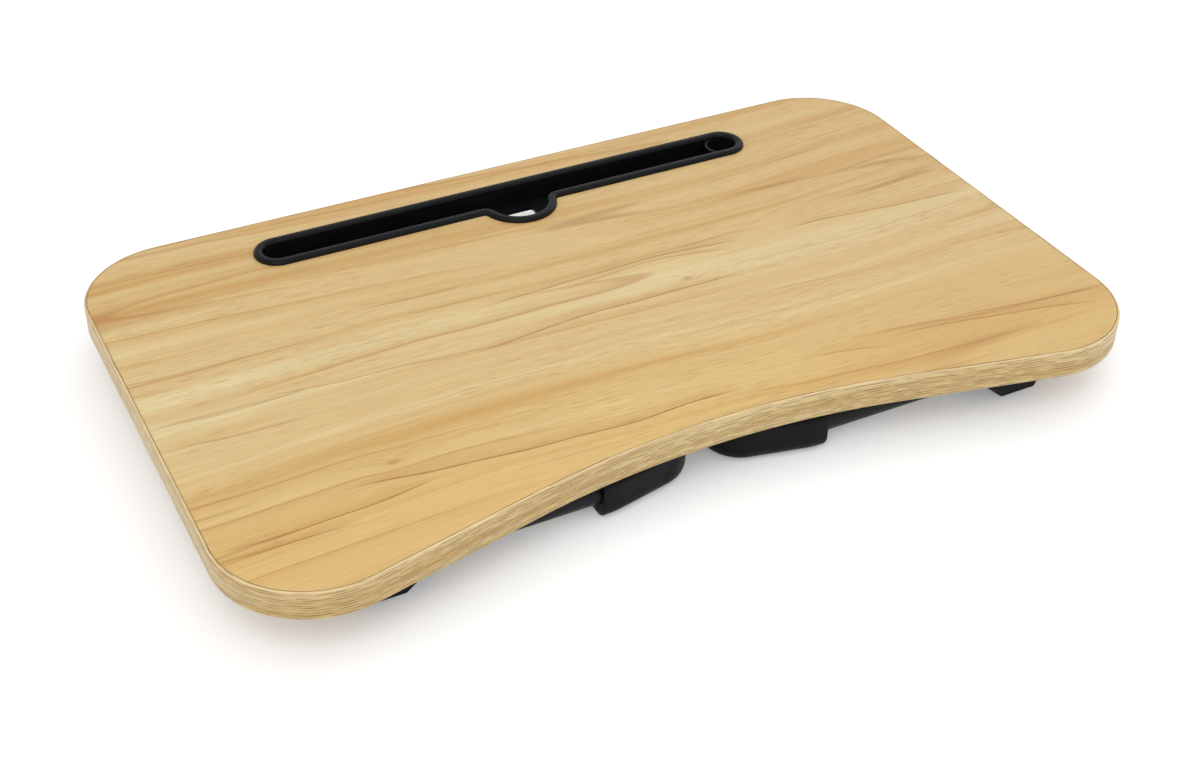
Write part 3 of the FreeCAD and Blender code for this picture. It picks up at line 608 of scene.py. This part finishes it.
def dress(nodes, material):
    """Gives CAD nodes a material in their own slots."""
    for name in nodes:
        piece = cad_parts[name]
        if not piece.material_slots:
            piece.data.materials.append(material)
        for place in piece.material_slots:
            place.material = material


# ---------------------------------------------------------------- operators
class TRAY_OT_board_faces(bpy.types.Operator):
    """Puts the oak foil on the board's two faces and bare fibreboard on its core"""
    bl_idname = "tray.board_faces"
    bl_label = "Board Faces"

    def execute(self, context):
        colours = context.scene.tray_table.colours
        dress(["top_foil"], oak_decor_foil(colours, lines=GRAIN_LINES))
        dress(["bottom_foil"], oak_decor_foil(colours, "oak_decor_foil_under", 0.31))
        dress(["panel_core"], raw_fibreboard())
        return {"FINISHED"}


class TRAY_OT_edge_band(bpy.types.Operator):
    """Runs the rounded edge band round the board"""
    bl_idname = "tray.edge_band"
    bl_label = "Edge Band"

    def execute(self, context):
        s = context.scene.tray_table.board
        low, high = BAND_BOX[0].z, BAND_BOX[1].z
        # the last 0.5 mm beside the foil is the glue line; the point 0.05 mm before it starts it sharply
        glue_line = s.band - 0.5 * MM
        profile = rounded(
            [(s.band, low), (s.band, high), (glue_line, high), (glue_line - 0.05 * MM, high),
             (0.0, high), (0.0, low)],
            [0.0, 0.08 * MM, 0.0, 0.0, s.band_round, s.band_round], steps=8)
        outline = board_outline(s)
        rows, columns = len(outline[0]), len(profile)
        # the UV of a face's corners: run along the edge and way round the profile, both in metres
        row, column = np.indices((rows, columns))
        run = closed_length(outline[0])[np.stack([row, row + 1, row + 1, row], -1)]
        wrap = closed_length(profile)[np.stack([column, column, column + 1, column + 1], -1) % columns]
        piece = make_mesh("edge_band_skin", swept_ring(outline, profile), "tray",
                          printed_edge_band(), sharp=50, uv=np.stack([run, wrap], -1))
        # attributes that are 1 on the glue line, and 1 on the rounding from 35 to 65 degrees round it,
        # where the pale stripe is partly scraping and partly a painted highlight
        inset, depth = profile[:, 0], np.minimum(high - profile[:, 1], profile[:, 1] - low)
        angle = np.arctan2(s.band_round - depth, s.band_round - inset)
        scraped_and_highlight = (angle > math.radians(35)) & (angle < math.radians(65))
        marks = {"glue_line": inset > glue_line - 0.01 * MM, "scraped_and_highlight": (inset < s.band_round) & scraped_and_highlight}
        for name, marked in marks.items():
            layer = piece.data.attributes.new(name, "FLOAT", "POINT")
            layer.data.foreach_set("value", np.tile(marked, rows).astype(np.float32))
        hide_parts("edge_band")
        return {"FINISHED"}


def slot_floor(s, low, high):
    """The slot's floor; it stops short behind the notch, so a plug passes down through it."""
    plan, normals = slot_outline(s, notch=False)
    plan = plan - normals * s.bead_width
    half, front = s.floor_cut_width / 2, s.slot_y - s.slot_width / 2 + s.bead_width
    back = front + s.floor_cut_depth
    within = (np.abs(plan[:, 0]) < half) & (plan[:, 1] < front + 0.01 * MM)
    first, last = np.flatnonzero(within)[[0, -1]]
    cut = rounded([(-half, front), (-half, back), (half, back), (half, front)],
                  [0.0, 1.5 * MM, 1.5 * MM, 0.0])
    plan = np.concatenate([plan[:first], cut, plan[last + 1:]])
    n = len(plan)
    under, over = np.arange(2 * n).reshape(2, n)
    points = np.concatenate([np.column_stack([plan, np.full(n, level)]) for level in (low, high)])
    return points, [grid_faces(2, n, False, True)[:, ::-1], over, under[::-1]]


def pen_well(s, low, high):
    """The pen well's wall: inner radius r, outer one the lesser of r + wall and the channel's side."""
    channel = s.slot_width / 2 - s.bead_width
    a = np.linspace(math.pi / 2, 3 * math.pi / 2, 61)
    inner = np.full_like(a, channel)
    outer = np.minimum(channel + s.well_wall, channel / np.maximum(np.abs(np.sin(a)), 1e-6))
    lip = np.minimum(0.35 * MM, (outer - channel) * 0.45)
    radius = np.stack([outer, outer, outer - lip, inner + lip, inner, inner], 1)
    height = np.stack([0 * a + low, high - lip, 0 * a + high, 0 * a + high, high - lip, 0 * a + low], 1)
    spoke = np.stack([np.cos(a), np.sin(a)], 1)
    middle = np.array([(s.slot_length - s.slot_width) / 2, s.slot_y])
    plan = middle + radius[..., None] * spoke[:, None, :]
    grid = np.concatenate([plan, height[..., None]], -1).reshape(-1, 3)
    return grid, [grid_faces(len(a), radius.shape[1], False, True)[:, ::-1]]


class TRAY_OT_slot_moulding(bpy.types.Operator):
    """Makes the slot moulding: bead and skirt, floor, and the curved wall of the pen well"""
    bl_idname = "tray.slot_moulding"
    bl_label = "Slot Moulding"

    def execute(self, context):
        table = context.scene.tray_table
        s = table.slot
        face = BAND_BOX[1].z
        top = face + s.bead_height
        floor_top = face - s.floor_depth
        floor_low = floor_top - s.floor_thickness
        profile = rounded(
            [(s.bead_width, floor_low), (s.bead_width, top), (0.0, top), (0.0, face),
             (s.bead_overlap, face), (s.bead_overlap, floor_low)],
            [0.0, s.bead_round, s.bead_round, 0.0, 0.0, 0.3 * MM], steps=10)
        shape = joined([swept_ring(slot_outline(s), profile), slot_floor(s, floor_low, floor_top),
                        pen_well(s, floor_low, face)])
        plastic = moulded_black("satin_moulded_plastic", tuple(table.colours.moulding), 0.26, 0.36,
                                0.35, 0.000012, 1.53)
        piece = make_mesh("slot_moulding", shape, "tray", plastic, sharp=35)
        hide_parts("slot_insert")
        return {"FINISHED"}


# Stations of a foot's section along the arm, round the elbow and along the cross bar.
FOOT_STATIONS = (15, 64, 18)


def foot_outlines(s):
    """Outer and inner edge of the right front foot, each as points and outward normals, by station.

    Along the arm the stations stand square to X, round the elbow they lie on rays from the inside
    arc's centre, and along the cross bar they stand square to Y. Each edge keeps its own normals, so
    a rounding runs beside it at an even distance."""
    low, high = FOOT_BOX
    mouth_x, toe_x, front_y, back_y = high.x, low.x, low.y, high.y
    half_turn, down = math.pi, 1.5 * math.pi
    slant_x, toe_cx = mouth_x - s.slant_from, toe_x + s.toe_radius
    toe_cy = front_y + (s.toe_radius - (toe_cx - slant_x) * math.sin(s.slant)) / math.cos(s.slant)
    blend_x = slant_x + s.slant_blend * math.tan(s.slant / 2)
    edge, inward = join_runs([
        straight(mouth_x, front_y, blend_x, front_y, 1 * MM),
        bend(blend_x, front_y + s.slant_blend, s.slant_blend, down, down - s.slant, math.radians(1)),
        bend(toe_cx, toe_cy, s.toe_radius, down - s.slant, half_turn, math.radians(2)),
        straight(toe_x, toe_cy, toe_x, back_y, 1 * MM),
    ])
    inner_y, inner_x = front_y + s.width, toe_x + s.width
    centre = np.array([inner_x, inner_y]) + s.inside_radius
    arm_count, ray_count, bar_count = FOOT_STATIONS
    arm = np.linspace(mouth_x, centre[0], arm_count)[:-1]
    ray = np.linspace(down, half_turn, ray_count)
    bar = np.linspace(centre[1], back_y, bar_count)[1:]
    off = edge - centre
    angle = np.mod(np.arctan2(off[:, 1], off[:, 0]), 2 * math.pi)
    count = np.arange(len(edge))
    place = np.concatenate([np.interp(-arm, -edge[:, 0], count), np.interp(-ray, -angle, count),
                            np.interp(bar, edge[:, 1], count)])
    outer = np.stack([np.interp(place, count, edge[:, k]) for k in (0, 1)], 1)
    outer_way = -np.stack([np.interp(place, count, inward[:, k]) for k in (0, 1)], 1)
    outer_way /= np.linalg.norm(outer_way, axis=1)[:, None]
    spoke = np.stack([np.cos(ray), np.sin(ray)], 1)
    inner = np.concatenate([np.stack([arm, np.full_like(arm, inner_y)], 1),
                            centre + spoke * s.inside_radius,
                            np.stack([np.full_like(bar, inner_x), bar], 1)])
    inner_way = np.concatenate([np.repeat([[0.0, 1.0]], len(arm), 0), -spoke,
                                np.repeat([[1.0, 0.0]], len(bar), 0)])
    return (outer, outer_way), (inner, inner_way)


def foot_section(s, low, high):
    """The foot's section as rows of share across, inset of the outer edge, of the inner edge, height.

    It runs down the outer side's rounding, over the sole, up the inner side and back over the crown.
    Each rounding of radius r is r (1 - cos q) in from its edge and r (1 - sin q) from its level."""
    q = np.linspace(0, math.pi / 2, 9)
    run = np.concatenate([[0.03], np.linspace(0.12, 0.88, 8), [0.97]])

    def rows(share, outer_in, inner_in, height):
        return np.stack(np.broadcast_arrays(share, outer_in, inner_in, height), 1)

    def corner(share, r, level, up):
        inset = r * (1 - np.cos(q))
        return rows(share, inset * (share == 0), inset * (share == 1), level + up * r * (1 - np.sin(q)))

    top = high - s.crown_round
    inner_foot, outer_foot = low + s.inner_round, low + s.sole_round
    return np.concatenate([
        corner(0, s.sole_round, low, 1), rows(run, s.sole_round, s.inner_round, low),
        corner(1, s.inner_round, low, 1)[::-1], rows(1, 0, 0, inner_foot + (top - inner_foot) * run),
        corner(1, s.crown_round, high, -1), rows(run[::-1], s.crown_round, s.crown_round, high),
        corner(0, s.crown_round, high, -1)[::-1], rows(0, 0, 0, top + (outer_foot - top) * run)])


def socket_rings(mouth, out, centre, radius, depth, ease):
    """Rings from a foot's last section over its eased edge, across the mouth and down the socket.

    Every ring point lies on the spoke from the tube's middle line through its section point."""
    spoke = mouth - centre
    reach = np.linalg.norm(spoke, axis=1)[:, None]
    spoke = spoke / reach
    lip = 0.3 * MM
    return np.stack([mouth - out * ease, centre + spoke * (reach - 0.3 * ease) - out * 0.3 * ease,
                     centre + spoke * (reach - ease), centre + spoke * (radius + lip),
                     centre + spoke * radius - out * lip, centre + spoke * radius - out * depth])


def foot_mesh(s):
    """The right front foot: its section carried along both outlines, a socket in each mouth and the
    foot screw's counterbore in the crown.

    A point is (outer - its normal * inset) * (1 - share) + (inner - its normal * inset) * share."""
    (outer, outer_way), (inner, inner_way) = foot_outlines(s)
    low, high = FOOT_BOX[0].z, FOOT_BOX[1].z
    share, outer_in, inner_in, height = foot_section(s, low, high).T[:, None, :, None]
    plan = ((outer[:, None] - outer_way[:, None] * outer_in) * (1 - share)
            + (inner[:, None] - inner_way[:, None] * inner_in) * share)
    grid = np.concatenate([plan, np.broadcast_to(height, plan.shape[:2] + (1,))], -1)
    arm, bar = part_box("right_front_arm_tube"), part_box("right_cross_bar")
    arm_y, bar_x, tube_z = ((box[0][k] + box[1][k]) / 2 for box, k in ((arm, 1), (bar, 0), (bar, 2)))
    radius = (bar[1].z - bar[0].z) / 2 + s.socket_fit
    mouth_x, mouth_y = FOOT_BOX[1].x, FOOT_BOX[1].y
    arm_socket, bar_socket = (
        socket_rings(mouth, np.array(out), np.array(centre), radius, reach + s.socket_fit, s.mouth_round)
        for mouth, out, centre, reach in (
            (grid[0], (1.0, 0.0, 0.0), (mouth_x, arm_y, tube_z), mouth_x - arm[0].x),
            (grid[-1], (0.0, 1.0, 0.0), (bar_x, mouth_y, tube_z), mouth_y - bar[0].y)))
    grid = np.concatenate([arm_socket[::-1], grid[1:-1], bar_socket])
    rows, columns = grid.shape[:2]
    index = np.arange(rows * columns).reshape(rows, columns)
    # the counterbore: a patch of the crown, half as wide again, gives way to rings round the screw
    middle = np.array([mouth_x - s.screw_from_mouth, arm_y, high])
    near = np.abs(grid - middle).max(-1) < 1.5 * s.screw_hole
    patch_rows, patch_columns = (np.flatnonzero(near.any(axis)) for axis in (1, 0))
    i0, i1, j0, j1 = patch_rows[0], patch_rows[-1], patch_columns[0], patch_columns[-1]
    faces = grid_faces(rows, columns, False, True).reshape(rows - 1, columns, 4)
    kept = np.ones((rows - 1, columns), bool)
    kept[i0:i1, j0:j1] = False
    loop = np.concatenate([index[i0, j0:j1], index[i0:i1, j1], index[i1, j1:j0:-1],
                           index[i1:i0:-1, j0]])
    spoke = grid.reshape(-1, 3)[loop] - middle
    spoke = spoke / np.linalg.norm(spoke, axis=1)[:, None]
    ease = 0.15 * MM
    drop = np.array([0, 0, 1.0])
    bore = np.concatenate([middle + spoke * reach - drop * sunk for reach, sunk in (
        (s.screw_hole + ease, 0.0), (s.screw_hole, ease), (s.screw_hole, s.screw_sink))])
    rings = np.concatenate([loop, rows * columns + np.arange(len(bore))]).reshape(4, -1)
    after = np.roll(rings, -1, axis=1)
    walls = np.stack([after[:-1], rings[:-1], rings[1:], after[1:]], -1).reshape(-1, 4)
    return (np.concatenate([grid.reshape(-1, 3), bore]),
            [faces[kept], walls, index[0], index[-1][::-1], rings[-1][::-1]])


class TRAY_OT_corner_feet(bpy.types.Operator):
    """Makes the four moulded elbow feet"""
    bl_idname = "tray.corner_feet"
    bl_label = "Corner Feet"

    def execute(self, context):
        table = context.scene.tray_table
        points, faces = foot_mesh(table.foot)
        plastic = moulded_black("grained_moulded_plastic", tuple(table.colours.plastic), 0.42, 0.56,
                                0.5, 0.00003)
        front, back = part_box("right_front_arm_tube"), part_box("right_back_arm_tube")
        for corner in CORNERS:
            placed, turned = points.copy(), faces
            if corner.endswith("back"):
                placed[:, 1] = (back[0].y + back[1].y + front[0].y + front[1].y) / 2 - placed[:, 1]
                turned = [group[..., ::-1] for group in turned]
            if corner.startswith("left"):
                placed[:, 0] = -placed[:, 0]
                turned = [group[..., ::-1] for group in turned]
            body = corner.split("_")[0] + "_leg"
            piece = make_mesh(corner + "_elbow", (placed, turned), body, plastic,
                              sharp=50)
            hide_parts(corner + "_foot")
        return {"FINISHED"}


def screw_mesh(radius, head, shank_radius, under, rings=9, spokes=48):
    """A pan-head screw with a cross recess, looking up +Z with its seat at Z = 0, as one closed skin.

    The head's height is head (1 - (r/R)^4 / 4); the recess goes down where |x| or |y| is under the
    slot's half width, inside the recess radius, easing to its floor over a short slope. From the
    head's rim the rings go in to the shank and down it."""
    r = np.append(np.linspace(0, 1, rings)[1:] * radius, (radius, shank_radius, shank_radius))[:, None]
    a = np.arange(spokes)[None, :] / spokes * 2 * math.pi
    x, y = r * np.cos(a), r * np.sin(a)
    half, recess = 0.16 * radius, 0.62 * radius
    cross = np.clip((half - np.minimum(np.abs(x), np.abs(y))) / (0.5 * half) + 0.5, 0, 1)
    cross = cross * np.clip((recess - r) / (0.25 * recess) + 0.5, 0, 1)
    z = head * (1 - 0.25 * (r / radius) ** 4) - 0.62 * head * cross
    z[-3:] = ((0.0,), (0.0,), (-under,))
    grid = np.stack([x, y, z], -1)
    middle = np.array([[0.0, 0.0, 0.38 * head]])
    start = np.arange(spokes) + 1
    fan = np.stack([np.zeros(spokes, int), start, np.roll(start, -1)], 1)
    last = (len(grid) - 1) * spokes + start
    faces = [fan, grid_faces(len(grid), spokes, False, True) + 1, last[::-1]]
    return np.concatenate([middle, grid.reshape(-1, 3)]), faces


def solids_of(name, apart=4 * MM):
    """Boxes of the separate solids of a CAD node that stand apart along X or Y.

    The points are sorted along each axis and a new group starts at every gap wider than apart."""
    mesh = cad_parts[name].data
    co = np.zeros(len(mesh.vertices) * 3, np.float32)
    mesh.vertices.foreach_get("co", co)
    co = co.reshape(-1, 3).astype(float)
    group = np.zeros(len(co), int)
    for axis in (0, 1):
        order = np.argsort(co[:, axis])
        steps = np.diff(co[order, axis], prepend=co[order[0], axis]) > apart
        group[order] += np.cumsum(steps) * (1, len(co))[axis]
    return [(co[group == g].min(0), co[group == g].max(0)) for g in np.unique(group)]


class TRAY_OT_fasteners(bpy.types.Operator):
    """Makes the cross-recessed screws and finishes the rivets and hinge pins"""
    bl_idname = "tray.fasteners"
    bl_label = "Fasteners"

    def execute(self, context):
        steel = plated_steel("zinc_plated_steel", linear("#c9ccd0"), 0.30, (700.0, 700.0, 9000.0))
        for name, body, head, shank, down in (
                ("bracket_screws", "tray", 2.4 * MM, 2.0 * MM, True),
                ("left_foot_screws", "left_leg", 1.8 * MM, 1.5 * MM, False),
                ("right_foot_screws", "right_leg", 1.8 * MM, 1.5 * MM, False)):
            screws = []
            for low, high in solids_of(name):
                x, y, seat = (low[0] + high[0]) / 2, (low[1] + high[1]) / 2, high[2] - head
                points, faces = screw_mesh((high[0] - low[0]) / 2, head, shank, high[2] - low[2] - head)
                if down:
                    points[:, 1:] = -points[:, 1:]
                    seat = low[2] + head
                screws.append((points + np.array([x, y, seat]), faces))
            piece = make_mesh(name + "_cross_head", joined(screws), body, steel, sharp=35)
            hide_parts(name)
        dress([side + "_knuckle_rivets" for side in SIDES], steel)
        dress([corner + "_hinge_pin" for corner in CORNERS], steel)
        return {"FINISHED"}


class TRAY_OT_hinges(bpy.types.Operator):
    """Finishes the hinge brackets, knuckles and leaf springs"""
    bl_idname = "tray.hinges"
    bl_label = "Hinges"

    def execute(self, context):
        table = context.scene.tray_table
        bracket = moulded_black("bracket_moulded_plastic", tuple(table.colours.plastic), 0.40, 0.54,
                                0.5, 0.00003)
        knuckle = moulded_black("knuckle_moulded_plastic", linear("#1a1a1c"), 0.28, 0.38, 0.4, 0.00001,
                                1.48)
        spring = plated_steel("rolled_spring_steel", linear("#8d9096"), 0.34, (300.0, 8000.0, 300.0))
        dress([corner + "_hinge_bracket" for corner in CORNERS], bracket)
        dress([corner + "_knuckle" for corner in CORNERS], knuckle)
        dress([corner + "_leaf_spring" for corner in CORNERS], spring)
        return {"FINISHED"}


class TRAY_OT_tubes(bpy.types.Operator):
    """Powder-coats the arm tubes and cross bars"""
    bl_idname = "tray.tubes"
    bl_label = "Tubes"

    def execute(self, context):
        coat = powder_coat(tuple(context.scene.tray_table.colours.coat))
        dress([corner + "_arm_tube" for corner in CORNERS], coat)
        dress([side + "_cross_bar" for side in SIDES], coat)
        return {"FINISHED"}


class TRAY_OT_foot_pads(bpy.types.Operator):
    """Finishes the anti-slip pads on the toes"""
    bl_idname = "tray.foot_pads"
    bl_label = "Foot Pads"

    def execute(self, context):
        dress([corner + "_foot_pad" for corner in CORNERS], anti_slip_rubber())
        return {"FINISHED"}


# Camera fitted to the board's outline in the photograph: where it looks, from how far and how turned.
CAMERA_TARGET = Vector((-0.0458, -0.0824, 0.046))
CAMERA_DISTANCE = 1.0507
CAMERA_AZIMUTH = math.radians(-28.152)
CAMERA_ELEVATION = math.radians(36.366)
CAMERA_ROLL = math.radians(1.186)
CAMERA_LENS = 52.92
# Soft lamps: name, side in metres, watts and place; both look at the middle of the board.
LAMPS = (("key_lamp", 1.6, 11.0, (-0.7, -1.3, 1.9)), ("fill_lamp", 2.2, 7.0, (1.6, 0.9, 1.7)))
LAMP_TARGET = (0, 0, 0.03)
# Half width of the floor, and its level just under the feet.
FLOOR_REACH, FLOOR_LEVEL = 40.0, -0.3 * MM
# Strength of the world's light on the object, and of the light that the paper floor gives.
AIR_STRENGTH, PAPER_GLOW = 0.80, 0.21


def seen_directly(node, *rays):
    """1 where the camera sees the surface, also in a mirror or through glass as the rays say."""
    path = node("LightPath").node.outputs
    seen = path["Is Camera Ray"]
    for ray in rays:
        seen = node("Math", (seen, path[ray]), **LARGER)
    return seen


def studio_white(shade):
    """Matt white paper, clear from below: the camera and mirrors see it white, it throws back less onto
    the table, and a little light of its own reaches the table's underside and thins its shadow."""
    made, node, _ = new_material("studio_white")
    tree = made.node_tree
    tree.nodes.clear()
    seen = seen_directly(node, "Is Glossy Ray", "Is Transmission Ray")
    paper = node("Mix", {0: seen, 6: linear("#a3a3a5"), 7: shade}, **RGBA)
    paper = node("BsdfDiffuse", {"Color": paper, "Roughness": 0.0})
    glow = node("Emission", {"Color": linear("#fafcff"), "Strength": PAPER_GLOW})
    lit = node("AddShader", (paper, glow))
    below = node("NewGeometry", out="Backfacing")
    node("OutputMaterial", {"Surface": node("MixShader", (below, lit, node("BsdfTransparent")))})
    return made


def pushed_floor(shade):
    """The studio floor; an opened leg pushes it down, so it stays under the mark on each toe pad."""
    r = FLOOR_REACH
    mesh = bpy.data.meshes.new("studio_floor")
    corners = [(-r, -r, FLOOR_LEVEL), (r, -r, FLOOR_LEVEL), (r, r, FLOOR_LEVEL), (-r, r, FLOOR_LEVEL)]
    mesh.from_pydata(corners, [], [(0, 1, 2, 3)])
    mesh.materials.append(studio_white(shade))
    floor = bpy.data.objects.new("studio_floor", mesh)
    bpy.context.scene.collection.objects.link(floor)
    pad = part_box("right_front_foot_pad")
    for side, body in ((-1, "left_leg"), (1, "right_leg")):
        mark = bpy.data.objects.new(body + "_toe_mark", None)
        mark.location = (side * pad[0].x, pad[0].y, pad[1].z)
        bpy.context.scene.collection.objects.link(mark)
        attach(mark, body)
        under = floor.constraints.new("FLOOR")
        under.target, under.floor_location = mark, "FLOOR_NEGATIVE_Z"


def photo_camera():
    """The camera at the photograph's place: turned about its target, then moved back from it."""
    data = bpy.data.cameras.new("photo_camera")
    data.lens, data.sensor_width, data.clip_start, data.clip_end = CAMERA_LENS, 36.0, 0.01, 200.0
    camera = bpy.data.objects.new("photo_camera", data)
    camera.matrix_world = (
        Matrix.Translation(CAMERA_TARGET) @ Matrix.Rotation(CAMERA_AZIMUTH, 4, "Z")
        @ Matrix.Rotation(math.pi / 2 - CAMERA_ELEVATION, 4, "X") @ Matrix.Rotation(CAMERA_ROLL, 4, "Z")
        @ Matrix.Translation((0, 0, CAMERA_DISTANCE)))
    return camera


class TRAY_OT_studio(bpy.types.Operator):
    """Lays the pale floor and sets the soft lamps and the camera"""
    bl_idname = "tray.studio"
    bl_label = "Studio"

    def execute(self, context):
        scene = context.scene
        pushed_floor(tuple(scene.tray_table.colours.studio))
        world = bpy.data.worlds.new("studio_air")
        world.use_nodes = True
        scene.world = world
        world.node_tree.nodes.clear()
        node = partial(add, world.node_tree)
        strength = node("MapRange", {"Value": seen_directly(node, "Is Transmission Ray"),
                                     "To Min": AIR_STRENGTH, "To Max": 1.0})
        sky = node("Background", {"Color": (1.0, 1.0, 1.0, 1.0), "Strength": strength})
        node("OutputWorld", {"Surface": sky})
        for name, size, watts, place in LAMPS:
            light = bpy.data.lights.new(name, "AREA")
            light.shape, light.size, light.energy = "SQUARE", size, watts
            lamp = bpy.data.objects.new(name, light)
            lamp.location = place
            lamp.rotation_mode = "QUATERNION"
            lamp.rotation_quaternion = (Vector(LAMP_TARGET) - Vector(place)).to_track_quat("-Z", "Y")
            scene.collection.objects.link(lamp)
        scene.camera = photo_camera()
        scene.collection.objects.link(scene.camera)
        scene.view_settings.view_transform = "Standard"
        return {"FINISHED"}


class TRAY_PT_panel(bpy.types.Panel):
    """Sidebar panel with the table's pieces, sizes and colours"""
    bl_label = "Tray Table"
    bl_idname = "TRAY_PT_panel"
    bl_space_type = "VIEW_3D"
    bl_region_type = "UI"
    bl_category = "Tray Table"

    def draw(self, context):
        table = context.scene.tray_table
        for step in STEPS:
            self.layout.operator(step.bl_idname)
        for group in (table.board, table.slot, table.foot, table.colours):
            box = self.layout.box()
            for name in group.bl_rna.properties.keys():
                if name not in {"rna_type", "name"}:
                    box.prop(group, name)


GROUPS = (TrayBoardSizes, TraySlotSizes, TrayFootSizes, TrayColours, TrayTableSettings)
STEPS = (TRAY_OT_studio, TRAY_OT_board_faces, TRAY_OT_edge_band, TRAY_OT_slot_moulding,
         TRAY_OT_corner_feet, TRAY_OT_hinges, TRAY_OT_tubes, TRAY_OT_foot_pads, TRAY_OT_fasteners)


def register():
    for made in GROUPS + STEPS + (TRAY_PT_panel,):
        bpy.utils.register_class(made)
    bpy.types.Scene.tray_table = PointerProperty(type=TrayTableSettings)


def unregister():
    del bpy.types.Scene.tray_table
    for made in reversed(GROUPS + STEPS + (TRAY_PT_panel,)):
        bpy.utils.unregister_class(made)


def main():
    register()
    for step in STEPS:
        area, name = step.bl_idname.split(".")
        getattr(getattr(bpy.ops, area), name)()


if __name__ == "__main__":
    main()
